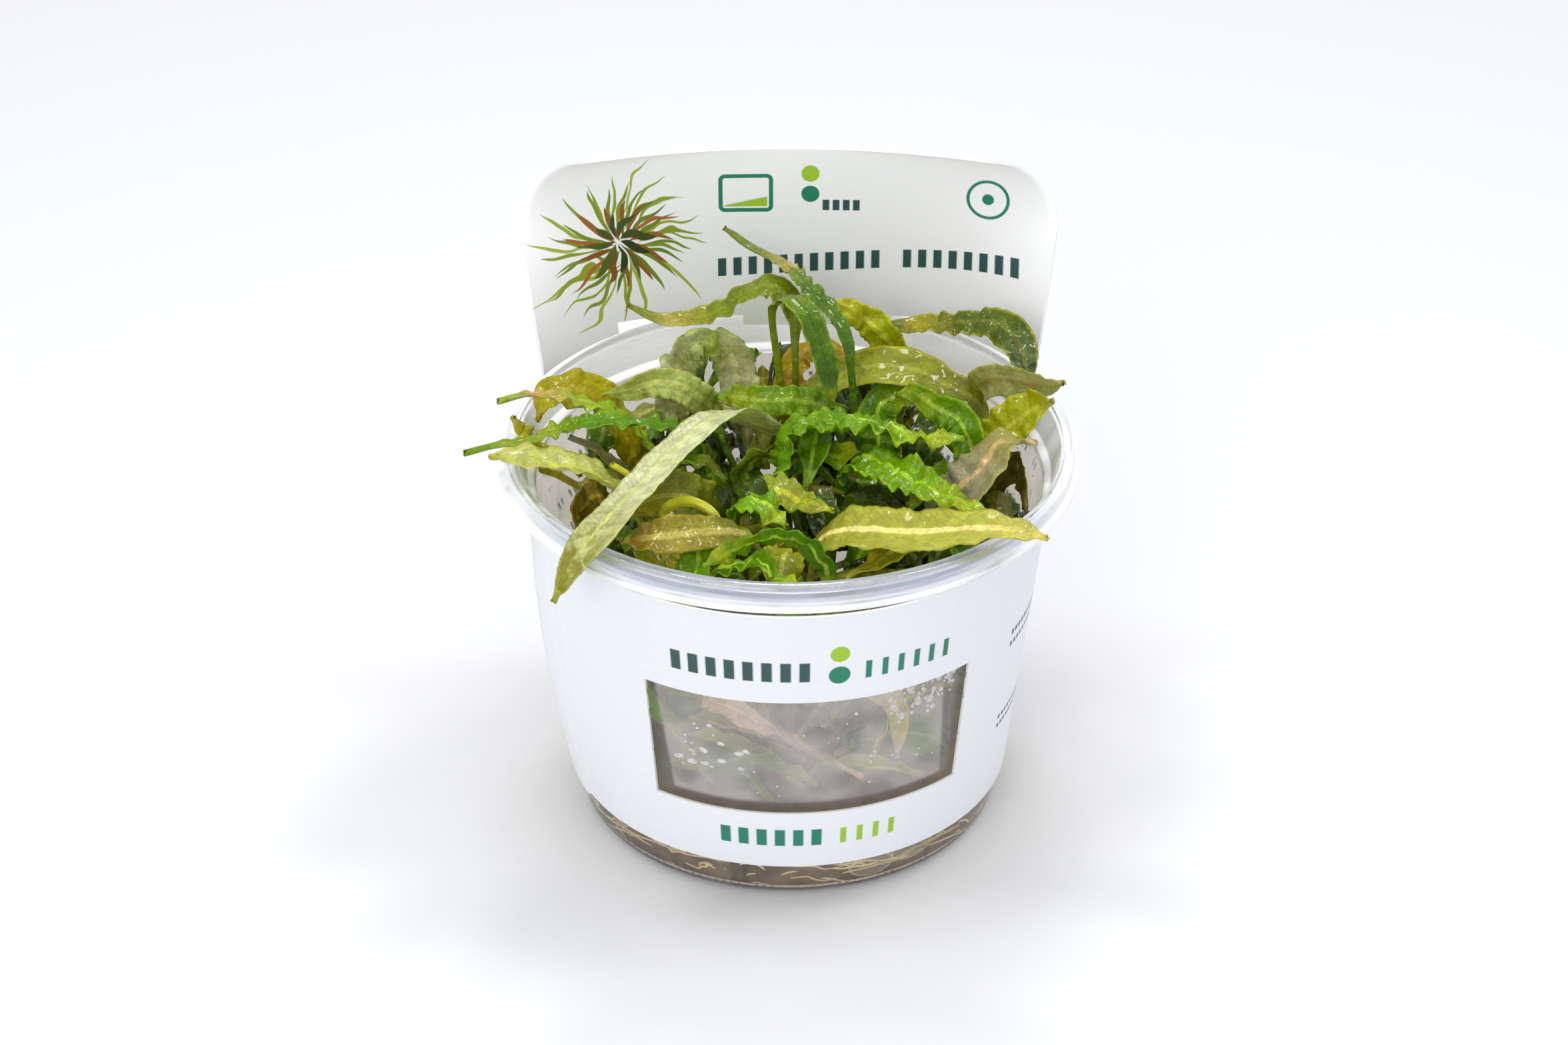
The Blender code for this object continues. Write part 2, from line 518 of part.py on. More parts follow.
# Leaves inside the cup: crown, bearing of the reach, reach, top, how far the tip curls round
# the cup, width, colour
INNER_LEAVES = [
    ("crown_back", 18, 33, 66, 32, 7.0, "green"),
    ("crown_back", -22, 33, 61, -32, 7.0, "dark"),
    ("crown_back", 58, 34, 56, 34, 6.5, "olive"),
    ("crown_left", -58, 35, 63, 36, 7.5, "olive"),
    ("crown_left", -96, 36, 57, -36, 7.0, "green"),
    ("crown_left", -128, 34, 67, -28, 7.5, "olive"),
    ("crown_front", -158, 35, 62, 32, 7.0, "dark"),
    ("crown_front", 168, 35, 66, -34, 7.5, "olive"),
    ("crown_front", -172, 35, 53, 34, 7.0, "green"),
    ("crown_right", 88, 35, 60, 38, 7.0, "dark"),
    ("crown_right", 122, 35, 66, 34, 7.5, "olive"),
    ("crown_right", 62, 35, 51, -34, 6.5, "green"),
    ("crown_right", 148, 30, 59, 30, 6.5, "dark"),
    ("crown_right", 40, 27, 57, 50, 6.0, "bright"),
]

COLORS = {
    "pale": (0.42, 0.44, 0.17), "olive": (0.27, 0.27, 0.03), "green": (0.16, 0.27, 0.03),
    "bright": (0.09, 0.30, 0.03), "dark": (0.06, 0.13, 0.02), "lime": (0.38, 0.40, 0.03),
    "glassy": (0.25, 0.25, 0.16), "brown": (0.30, 0.19, 0.05), "orange": (0.70, 0.38, 0.03),
    "yellow": (0.62, 0.52, 0.05),
}


def on_cup(bearing, reach, z):
    turn = math.radians(bearing)
    return reach * math.sin(turn), reach * math.cos(turn), z


def inner_leaf(crown, bearing, reach, top, curl, width, color):
    start, tip = Vector((*CROWNS[crown], 0)), Vector(on_cup(bearing, reach, 0))
    route = [(*start.lerp(tip, 0.3).xy, 0.5 * top + 4), (*start.lerp(tip, 0.75).xy, top - 6),
             on_cup(bearing, reach, top), on_cup(bearing + curl * 0.5, reach, top - 1),
             on_cup(bearing + curl, reach - 2, top - 5)]
    return leaf(crown, route, width, stalk=0.45, full=0.7, wave=0.3, color=color, steps=9)


def clear_of(rings, placed):
    points = [point for ring in rings for point in ring]
    tree = BVHTree.FromPolygons(points, leaf_faces(len(rings)))
    return not any(tree.overlap(other) for other in placed)


def settle(made, placed):
    # finds the way that a leaf lies among its neighbours, with the least shift of its blade
    level = Vector((0, 0, 0))
    ways = [Vector((x, y, z)).normalized() for x in (-1, 0, 1) for y in (-1, 0, 1)
            for z in (1, 0, -1) if abs(x) + abs(y) + abs(z) in (1, 3)]
    bows = [level] + [Vector((*on_cup(45 * n, size, 0)[:2], 0))
                      for size in (3, 6, 9) for n in range(8)]
    blade = min(stalk_rings(made) + 1, made["steps"] - 2)
    for shift in [level] + [way * size for size in (1.5, 3, 5, 7, 9) for way in ways]:
        route = leaf_route(made, shift, level, 0, RINGS[0])
        if not clear_of(leaf_points(route, made)[blade:], placed):
            continue
        for bow in bows:
            for turn in (0, 25, -25, 55, -55, 90, -90, 140, 180):
                for ring in RINGS:
                    route = leaf_route(made, shift, bow, turn, ring)
                    if clear_of(leaf_points(route, made, extra=0.4), placed):
                        return route
    raise RuntimeError("a leaf has no room")


def add_leaves(placed, finishes):
    leaves = dict(LEAVES)
    for number, row in enumerate(INNER_LEAVES, 1):
        leaves[f"leaf_inner_{number:02d}"] = inner_leaf(*row)
    for name, made in leaves.items():
        rings = leaf_points(settle(made, placed), made)
        points = [point for ring in rings for point in ring]
        faces = leaf_faces(len(rings))
        placed.append(BVHTree.FromPolygons(points, faces))
        add_object(name, points, faces, finishes[made["color"]], sharp=75)


def tree_of(thing):
    return BVHTree.FromPolygons([v.co / MM for v in thing.data.vertices],
                                [tuple(p.vertices) for p in thing.data.polygons])


def main():
    for old in list(bpy.data.objects):
        bpy.data.objects.remove(old)
    clear = material("clear_plastic", (0.97, 0.98, 1.0), 0.03, alpha=0.3, transmission=1.0)
    card = material("white_card", (0.82, 0.83, 0.85), 0.45)
    jelly = material("brown_gel", (0.10, 0.08, 0.05), 0.1, alpha=0.8)
    crown = material("crown", (0.45, 0.42, 0.22), 0.5)
    finishes = {name: material(f"leaf_{name}", color, 0.3) for name, color in COLORS.items()}
    solids = [add_cup(clear), add_sleeve(card), add_gel(jelly)]
    solids += [add_crown(name, place, crown) for name, place in CROWNS.items()]
    add_leaves([tree_of(solid) for solid in solids], finishes)


main()
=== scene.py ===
import itertools
import math
import random

import bpy
import numpy as np
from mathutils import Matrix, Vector, noise
from mathutils.bvhtree import BVHTree
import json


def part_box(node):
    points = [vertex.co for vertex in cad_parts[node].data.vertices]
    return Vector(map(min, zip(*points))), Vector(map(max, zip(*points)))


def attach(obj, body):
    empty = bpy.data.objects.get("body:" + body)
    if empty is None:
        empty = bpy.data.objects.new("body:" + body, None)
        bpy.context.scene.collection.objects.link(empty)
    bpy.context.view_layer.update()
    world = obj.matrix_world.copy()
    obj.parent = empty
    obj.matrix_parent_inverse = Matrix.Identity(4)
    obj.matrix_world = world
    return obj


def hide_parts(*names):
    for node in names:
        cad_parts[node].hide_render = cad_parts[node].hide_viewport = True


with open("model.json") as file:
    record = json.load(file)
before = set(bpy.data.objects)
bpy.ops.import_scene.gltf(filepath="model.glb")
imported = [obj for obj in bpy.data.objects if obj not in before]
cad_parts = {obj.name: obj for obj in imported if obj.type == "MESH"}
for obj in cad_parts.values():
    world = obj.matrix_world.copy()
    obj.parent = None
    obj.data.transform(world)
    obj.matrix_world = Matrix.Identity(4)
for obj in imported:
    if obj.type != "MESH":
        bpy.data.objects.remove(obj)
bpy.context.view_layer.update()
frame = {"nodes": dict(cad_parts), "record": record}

mm = 0.001


# Shader maths

class Wire:
    # a node's output, so that shader maths reads as plain maths
    def __init__(self, socket):
        self.socket = socket
        self.tree = socket.id_data

    @staticmethod
    def node(tree, kind, settings=None, inputs=None, output=0):
        made = tree.nodes.new("ShaderNode" + kind)
        for key, value in (settings or {}).items():
            setattr(made, key, value)
        for key, value in (inputs or {}).items():
            if isinstance(value, Wire):
                tree.links.new(value.socket, made.inputs[key])
            else:
                made.inputs[key].default_value = value
        return Wire(made.outputs[output]) if made.outputs else None

    def also(self, name):
        return Wire(self.socket.node.outputs[name])

    def maths(self, operation, *values):
        return Wire.node(self.tree, "Math", {"operation": operation},
                         dict(enumerate([self, *values])))

    def joined(self, operation, *sides):
        kinds = [side.socket.type for side in sides if isinstance(side, Wire)]

        def filled(*rest):
            return [side if isinstance(side, (Wire, tuple)) else (side,) * 3 + rest for side in sides]

        if "RGBA" in kinds:
            left, right = filled(1)
            settings = {"data_type": "RGBA", "blend_type": operation}
            return Wire.node(self.tree, "Mix", settings, {0: 1.0, 6: left, 7: right}, 2)
        kind = "Math"
        if "VECTOR" in kinds:
            kind, sides = "VectorMath", filled()
        return Wire.node(self.tree, kind, {"operation": operation}, dict(enumerate(sides)))

    def __add__(self, value):
        return self.joined("ADD", self, value)

    def __radd__(self, value):
        return self.joined("ADD", value, self)

    def __sub__(self, value):
        return self.joined("SUBTRACT", self, value)

    def __rsub__(self, value):
        return self.joined("SUBTRACT", value, self)

    def __mul__(self, value):
        return self.joined("MULTIPLY", self, value)

    def __rmul__(self, value):
        return self.joined("MULTIPLY", value, self)

    def __truediv__(self, value):
        return self.joined("DIVIDE", self, value)

    def __rtruediv__(self, value):
        return self.joined("DIVIDE", value, self)

    def __pow__(self, value):
        return self.maths("POWER", value)

    def __abs__(self):
        return self.maths("ABSOLUTE")

    def rise(self, low, high):
        # 0 below low, 1 above high, eased between; falls if low is above high
        turned = low > high
        inputs = {"Value": self, "From Min": min(low, high), "From Max": max(low, high),
                  "To Min": float(turned), "To Max": float(not turned)}
        return Wire.node(self.tree, "MapRange", {"interpolation_type": "SMOOTHSTEP"}, inputs)

    def within(self, low, high, soft=0.12):
        return self.rise(low - soft, low + soft) * self.rise(high + soft, high - soft)

    def blend(self, first, second):
        # first where this is 0, second where it is 1
        inputs = {0: self, 6: first, 7: second}
        return Wire.node(self.tree, "Mix", {"data_type": "RGBA"}, inputs, 2)

    def cloud(self, scale, detail=3.0, rough=0.55, warp=0.0):
        inputs = {"Vector": self, "Scale": scale, "Detail": detail, "Roughness": rough,
                  "Distortion": warp}
        return Wire.node(self.tree, "TexNoise", None, inputs)

    def bump(self, strength, distance):
        inputs = {"Strength": strength, "Distance": distance, "Height": self}
        return Wire.node(self.tree, "Bump", None, inputs)

    def axes(self):
        first = Wire.node(self.tree, "SeparateXYZ", None, {0: self})
        return first, first.also("Y"), first.also("Z")


def spotOn(tree):
    # position in mm
    return Wire.node(tree, "TexCoord", output="Object") * (1 / mm)


def readPlace(tree, name):
    # three numbers kept on the mesh
    return Wire.node(tree, "Attribute", {"attribute_name": name}, output="Vector").axes()


def surface(tree, inputs):
    return Wire.node(tree, "BsdfPrincipled", None, inputs)


def mixed(share, first, second):
    # the first shader where share is 0, the second where it is 1
    return Wire.node(first.tree, "MixShader", None, {0: share, 1: first, 2: second})


def lightPassing(tree):
    # 1 on the way to a lamp and on scattered light, 0 for the camera
    path = Wire.node(tree, "LightPath", output="Is Shadow Ray")
    return path.maths("MAXIMUM", path.also("Is Diffuse Ray"))


def newFinish(name, shader, *details):
    # a material with the shader that the given function builds
    made = bpy.data.materials.new(name)
    made.use_nodes = True
    tree = made.node_tree
    tree.nodes.clear()
    Wire.node(tree, "OutputMaterial", None, {"Surface": shader(tree, *details)})
    return made


def rgb(code):
    # linear colour from a screen colour such as "f0f2f6"
    screen = [value / 255 for value in bytes.fromhex(code)]
    return *(v / 12.92 if v <= 0.04045 else ((v + 0.055) / 1.055) ** 2.4 for v in screen), 1.0


# Mesh helpers

def smooth(low, high, value):
    t = np.clip((value - low) / (high - low), 0, 1)
    return t * t * (3 - 2 * t)


def wobble(*place):
    return noise.noise(Vector(place))


def facingOut(points, faces):
    # turns the faces round if the body they close is inside out
    points = np.asarray(points, float)
    points = points - points.mean(axis=0)
    volume = 0.0
    for corners in (3, 4):
        picked = np.array([face for face in faces if len(face) == corners], int)
        for k in range(corners - 2 if len(picked) else 0):
            first, second, third = (points[picked[:, n]] for n in (0, k + 1, k + 2))
            volume += (first * np.cross(second, third)).sum()
    return faces if volume > 0 else [face[::-1] for face in faces]


def addToScene(name, data):
    made = bpy.data.objects.new(name, data)
    bpy.context.scene.collection.objects.link(made)
    return made


def addMesh(name, points, faces, finish, values=None):
    mesh = bpy.data.meshes.new(name)
    faces = facingOut(points, [list(face) for face in faces])
    mesh.from_pydata((np.asarray(points, float) * mm).tolist(), [], faces)
    for key, rows in (values or {}).items():
        layer = mesh.attributes.new(key, "FLOAT_VECTOR", "POINT")
        layer.data.foreach_set("vector", np.asarray(rows, np.float32).ravel())
    mesh.shade_smooth()
    mesh.materials.append(finish)
    return addToScene(name, mesh)


def joinMeshes(name, pieces, finish):
    # one mesh from pieces, each with its points, faces and the values kept on its points
    points, faces, values = [], [], {}
    for ownPoints, ownFaces, ownValues in pieces:
        faces += [[n + len(points) for n in face] for face in ownFaces]
        points += ownPoints.tolist()
        for key, rows in ownValues.items():
            values.setdefault(key, []).extend(np.asarray(rows).tolist())
    return addMesh(name, points, faces, finish, values)


def loft(rings, capped=True):
    # faces over rows of points, each row a ring
    rows, count = rings.shape[:2]
    index = np.arange(rows * count).reshape(rows, count)
    after = np.roll(index, -1, axis=1)
    faces = np.stack([index[:-1], after[:-1], after[1:], index[1:]], axis=-1)
    faces = faces.reshape(-1, 4).tolist()
    if capped:
        faces.append(list(range(count))[::-1])
        faces.append(list(range((rows - 1) * count, rows * count)))
    return faces


def lofted(rings, **values):
    # a closed piece over rings, with values that all its points share
    points = rings.reshape(-1, 3)
    return points, loft(rings), {key: [value] * len(points) for key, value in values.items()}


def softened(profile, radius):
    # rounds each inner corner of a profile
    corners = [np.array(p, float) for p in profile]
    made = [corners[0]]
    for before, here, after in zip(corners, corners[1:], corners[2:]):
        into, out = before - here, after - here
        size = min(radius, 0.45 * np.linalg.norm(into), 0.45 * np.linalg.norm(out))
        start = here + into / np.linalg.norm(into) * size
        end = here + out / np.linalg.norm(out) * size
        for t in (0, 0.33, 0.67, 1):
            made.append(start * (1 - t) ** 2 + here * 2 * t * (1 - t) + end * t ** 2)
    return made + [corners[-1]]


def turned(profile, steps):
    # a closed body of revolution; the profile starts and ends on the axis
    inner = profile[1:-1]
    angles = np.linspace(0, 2 * math.pi, steps, endpoint=False)
    rings = np.array([[(r * math.sin(a), r * math.cos(a), z) for a in angles] for r, z in inner])
    faces = loft(rings, capped=False)
    points = rings.reshape(-1, 3).tolist() + [(0, 0, profile[0][1]), (0, 0, profile[-1][1])]
    low, high = len(points) - 2, len(points) - 1
    last = (len(inner) - 1) * steps
    for i in range(steps):
        j = (i + 1) % steps
        faces.append([low, j, i])
        faces.append([high, last + i, last + j])
    return points, faces


def along(values, places):
    # smooth curve through rows of values, read at fractional row numbers
    values = np.asarray(values, float)
    if values.ndim == 1:
        values = values[:, None]
    padded = np.vstack([2 * values[0] - values[1], values, 2 * values[-1] - values[-2]])
    row = np.clip(places.astype(int), 0, len(values) - 2)
    t = (places - row)[:, None]
    p0, p1, p2, p3 = (padded[row + k] for k in range(4))
    return 0.5 * (2 * p1 + (p2 - p0) * t + (2 * p0 - 5 * p1 + 4 * p2 - p3) * t ** 2
                  + (3 * p1 - p0 - 3 * p2 + p3) * t ** 3)


# Cup

cup = {
    "steps": 192, "taper": 0.112, "footRadius": 39.2, "wall": 0.9, "floor": 1.0,
    "baseRadius": 36.6, "corner": 2.7, "seat": 66.4, "rounding": 0.22,
    # radius and height round the hollow rim, then down to the lid seat
    "rimOutside": [(48.2, 67.4), (49.75, 72.6), (50.4, 72.5), (50.5, 70.0), (50.9, 69.4),
                   (52.2, 69.4), (52.5, 69.8), (52.5, 70.6), (51.5, 71.2), (51.35, 73.3),
                   (50.9, 73.95)],
    "rimInside": [(50.2, 74.15), (49.5, 74.15), (48.95, 73.4), (47.4, 67.8)],
    "ior": 1.49, "roughness": 0.03, "tint": (0.985, 0.99, 1.0, 1), "through": (0.93, 0.94, 0.95, 1),
    "veil": 0.12,           # share of the painted reflection on the wall behind the window
    # colours of the painted reflections on the clear wall, behind the window and round the rim
    "veilColor": rgb("ded8d2"), "bandColor": rgb("b4bccb"), "sideColor": rgb("fcfcfe"),
    "windowTurn": (-31.0, 39.5), "windowHeight": (22.6, 47.5), "rimBand": (66.6, 73.4),
}


def wallRadius(z):
    return cup["footRadius"] + cup["taper"] * z


def innerRadius(z):
    return wallRadius(z) - cup["wall"]


def cupProfile():
    base, corner, seat = cup["baseRadius"], cup["corner"], cup["seat"]

    def bow(height, radius, turns):
        turns = [math.radians(a) for a in turns]
        return [(base + radius * math.cos(a), height + radius * math.sin(a)) for a in turns]

    outside = [(0, 0)] + bow(corner, corner, (-90, -72, -54, -36, -18, 0))
    outside += [(wallRadius(seat), seat)] + cup["rimOutside"]
    inside = cup["rimInside"] + [(innerRadius(seat) + 0.3, seat + 0.5), (innerRadius(seat), seat - 0.4)]
    inside += bow(corner + 0.2, corner - cup["wall"], (0, -22, -45, -68, -90))
    return softened(outside + inside + [(0, cup["floor"])], cup["rounding"])


def plasticShader(tree):
    spot = spotOn(tree)
    x, y, z = spot.axes()
    angle = x.maths("ARCTAN2", y * -1.0)
    degrees = angle * (180 / math.pi)
    clear = surface(tree, {
        "Base Color": cup["tint"], "Roughness": cup["roughness"], "IOR": cup["ior"],
        "Transmission Weight": 1.0, "Normal": spot.cloud(0.09, 2.0).bump(0.12, 0.0003)})
    # colours of the painted reflection: blue-grey at the front of the rim, near white at its sides and
    # under its top bead, warm grey under the rim
    color = abs(degrees).rise(40, 75).blend(cup["bandColor"], cup["sideColor"])
    color = z.rise(70.9, 70.5).blend(color, cup["sideColor"])
    color = z.rise(66.6, 67.4).blend(cup["veilColor"], color)
    veil = surface(tree, {"Base Color": color, "Roughness": 0.5})
    # painted reflection round the rim: long streaks, more of them at the sides, and a lighter band under
    # the top bead
    around = Wire.node(tree, "CombineXYZ", None, {0: angle * 2.2, 1: z * 0.55, 2: 0.0})
    sideways = abs(degrees).rise(42, 75)
    rim = around.cloud(1.6, 3.0, 0.6).rise(0.35, 0.7) * (0.4 - sideways * 0.08) + 0.14
    rim = rim + sideways * 0.48 + z.rise(70.9, 70.5) * 0.25
    # painted reflection in patches on the wall behind the window
    window = (degrees + (z - 34) * 0.11).within(*cup["windowTurn"], 0.5)
    window = window * z.within(*cup["windowHeight"], 0.5)
    patches = spot.cloud(0.12, 3.0, 0.55, 0.3).rise(0.36, 0.66) * 0.16 + cup["veil"]
    # how much painted reflection each place shows, with a faint share on the wall under the rim
    share = window * patches + z.within(*cup["rimBand"], 0.4) * rim + z.rise(67, 60) * 0.03
    seeThrough = Wire.node(tree, "BsdfTransparent", None, {"Color": cup["through"]})
    return mixed(lightPassing(tree), mixed(share, clear, veil), seeThrough)


def makeCup():
    points, faces = turned(cupProfile(), cup["steps"])
    made = addMesh("cupShell", points, faces, newFinish("clearPlastic", plasticShader))
    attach(made, "root")
    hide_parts("cup")


makeCup()
print("cup done")


# Card sleeve

sleeve = {
    "card": 0.5, "offset": 0.4, "foot": 8.2, "top": 65.6,
    "headerTop": 109.6, "headerCorner": 12.0, "headerHalf": 49.9, "headerFootHalf": 46.3,
    "headerDepth": 45.5, "headerEdge": 57, "headerFoot": 72, "widening": 25,
    "curl": (15.5, 6.0), "curlPower": (4.5, 2.2),   # at the header's foot and top
    "slotEdge": 36, "slotTop": 74.7, "tabEdge": 9, "tabFoot": 72.7,
    "windowFoot": 20.8, "windowTop": 46.6, "windowFrom": 135.5, "windowTo": 214,
    "flapFrom": 243, "flapTo": 258, "flapLift": 0.9,
    # where the band leaves the cone, and how far it stands off at the side
    "leaving": (38, 65.0), "joining": 92, "slack": 1.7, "slackAt": 265, "slackWide": 28,
    "paper": rgb("f0f2f6"), "inner": rgb("fcf8f0"), "headerPaper": rgb("fbfbfd"),
    "through": 0.75, "throughColor": (1.0, 0.97, 0.93, 1), "glow": 0.65, "glowColor": rgb("fffaf2"),
    "dark": rgb("2c5250"), "teal": rgb("1a8064"), "lime": rgb("9ec830"),
}

# plain shapes printed on the card
prints = {
    # rosettes of pointed ovals: how many, start, end, width, twist and two colours
    "rosetteAt": (-31.5, 91.0),
    "rosettes": [(19, 2.0, 18.5, 0.42, 0.2, rgb("809c24"), rgb("b0be46")),
                 (23, 2.0, 14.5, 0.5, 1.1, rgb("587c1e"), rgb("96a02c")),
                 (13, 1.0, 11.5, 0.62, 2.0, rgb("84541e"), rgb("b0702a")),
                 (9, 0.4, 7.5, 0.75, 0.6, rgb("2c3c16"), rgb("60681e"))],
    "frame": (-8.1, 100.6), "frameHalf": (3.9, 2.7), "ring": (37.1, 100.9), "slant": 0.062,
    # area and ink of rows of blocks, with start, end, foot, top, pitch and share of the pitch,
    # and of dots, with place across, height and radius
    "marks": [("slanted", "dark", -13.6, 18.1, 83.9, 87.7, 2.9, 0.6),
              ("slanted", "dark", 21.4, 43.6, 83.9, 87.7, 2.85, 0.6),
              ("header", "dark", 6.2, 13.6, 97.0, 99.2, 1.9, 0.72),
              ("band", "dark", -26.8, 6.0, 51.3, 55.5, 4.1, 0.62),
              ("band", "teal", 16.5, 39.0, 51.0, 54.8, 3.8, 0.42),
              ("band", "teal", -17.3, 9.4, 13.2, 17.0, 4.5, 0.62),
              ("band", "lime", 12.4, 29.0, 13.2, 16.8, 4.2, 0.42),
              ("header", "lime", 4.0, 104.6, 1.7), ("header", "teal", 4.0, 100.4, 1.7),
              ("header", "teal", 37.1, 100.9, 1.1), ("bandMm", "lime", 8.6, 57.0, 1.7),
              ("bandMm", "teal", 8.6, 52.4, 1.9)],
    # small lines of blocks on the band's side
    "smallLines": [(45.0, 46.2), (42.4, 43.4), (26.0, 26.9), (24.0, 24.9)],
    "smallRow": (62, 84, 10, 60, 1.9, 0.7),
    # small dashes on the inside
    "dashRows": [(-70, 70, 25, 64, 2.1, 0.55), (110, 176, 25, 64, 2.1, 0.55)], "dashPitch": 4.6,
}


def headerPoint(side, z):
    # the header's middle line, from -1 to 1 across; the card curls forward at its edges
    rise = min(max((z - sleeve["headerFoot"]) / sleeve["widening"], 0), 1)
    half = sleeve["headerFootHalf"] + (sleeve["headerHalf"] - sleeve["headerFootHalf"]) * rise
    corner = sleeve["headerCorner"]
    over = max(z - (sleeve["headerTop"] - corner), 0)
    half -= corner - math.sqrt(max(corner ** 2 - over ** 2, 0))
    up = float(smooth(sleeve["headerFoot"], sleeve["headerTop"], z))
    curl, power = (low + (high - low) * up for low, high in (sleeve["curl"], sleeve["curlPower"]))
    return half * side, sleeve["headerDepth"] - curl * abs(side) ** power


def cardMiddle(bearing, z):
    turn = math.radians(bearing)
    radius = wallRadius(z) + sleeve["offset"] + sleeve["card"] / 2
    offBack = min(bearing % 360, 360 - bearing % 360)
    pull = float(smooth(*sleeve["leaving"], z))
    edge = sleeve["headerEdge"]
    if offBack <= edge:
        x, y = headerPoint(math.sin(turn) / math.sin(math.radians(edge)), z)
        coneX, coneY = radius * math.sin(turn), radius * math.cos(turn)
        x, y = coneX + (x - coneX) * pull, coneY + (y - coneY) * pull
        reach = math.hypot(x, y)
        if z <= sleeve["top"] and reach < radius:
            x, y = x * radius / reach, y * radius / reach
        return Vector((x, y, z))
    spread = (math.hypot(*headerPoint(1, z)) - radius) * pull
    spread *= 1 - float(smooth(edge, sleeve["joining"], offBack))
    slack = sleeve["slack"] * math.exp(-((bearing % 360 - sleeve["slackAt"]) / sleeve["slackWide"]) ** 2)
    slack *= math.sin(math.pi * (z - sleeve["foot"]) / (sleeve["top"] - sleeve["foot"]))
    radius += spread + slack
    return Vector((radius * math.sin(turn), radius * math.cos(turn), z))


def cardPoint(bearing, z, side):
    near = 0.5
    across = cardMiddle(bearing + near, z) - cardMiddle(bearing - near, z)
    middle = cardMiddle(bearing, z)
    normal = (middle - cardMiddle(bearing, z - near)).cross(across).normalized()
    if normal.dot(Vector((middle.x, middle.y, 0))) < 0:
        normal.negate()
    lift = sleeve["card"] / 2 * side
    if side > 0 and sleeve["flapFrom"] < bearing < sleeve["flapTo"] and z <= sleeve["top"]:
        lift += sleeve["flapLift"] * sleeve["card"]
    return middle + normal * lift


def split(edges, step):
    # finer steps between the given edges
    made = []
    for low, high in zip(edges, edges[1:]):
        count = max(1, round((high - low) / step))
        made += [low + (high - low) * i / count for i in range(count)]
    return made + [edges[-1]]


def blocks(place, height, start, end, low, high, pitch, share):
    # a row of plain upright blocks
    cell = ((place - start) / pitch).maths("FRACT")
    width = cell.rise(share + 0.06, share - 0.06) * cell.rise(0.0, 0.1)
    return width * place.within(start, end, 0.1) * height.within(low, high, 0.1)


def disc(x, z, centreX, centreZ, radius):
    away = ((x - centreX) ** 2.0 + (z - centreZ) ** 2.0) ** 0.5
    return away.rise(radius + 0.12, radius - 0.12)


def rosette(x, z, petals, start, end, width, twist):
    # pointed ovals round a centre, waved; returns the mask and each oval's own number
    flat = Wire.node(x.tree, "CombineXYZ", None, {0: x, 1: z, 2: twist * 9})
    bend = flat.cloud(0.13, 1.0) - 0.5
    centreX, centreZ = prints["rosetteAt"]
    dx, dz = x - centreX + bend * 5.0, z - centreZ - bend * 6.0
    away = (dx ** 2.0 + dz ** 2.0) ** 0.5
    angle = dz.maths("ARCTAN2", dx)
    turns = (angle + twist + away * 0.018) * (petals / (2 * math.pi)) + 20.0
    off = abs(turns.maths("FRACT") - 0.5) * (2 * math.pi / petals) * away
    luck = Wire.node(x.tree, "TexWhiteNoise", {"noise_dimensions": "1D"}, {"W": turns.maths("FLOOR")})
    t = (away - start) / (end * (luck * 0.45 + 0.72) - start)
    body = (t * (1.0 - t) * 4.0).maths("MAXIMUM", 0.0) * width
    return (body - off).rise(0.0, 0.15), luck


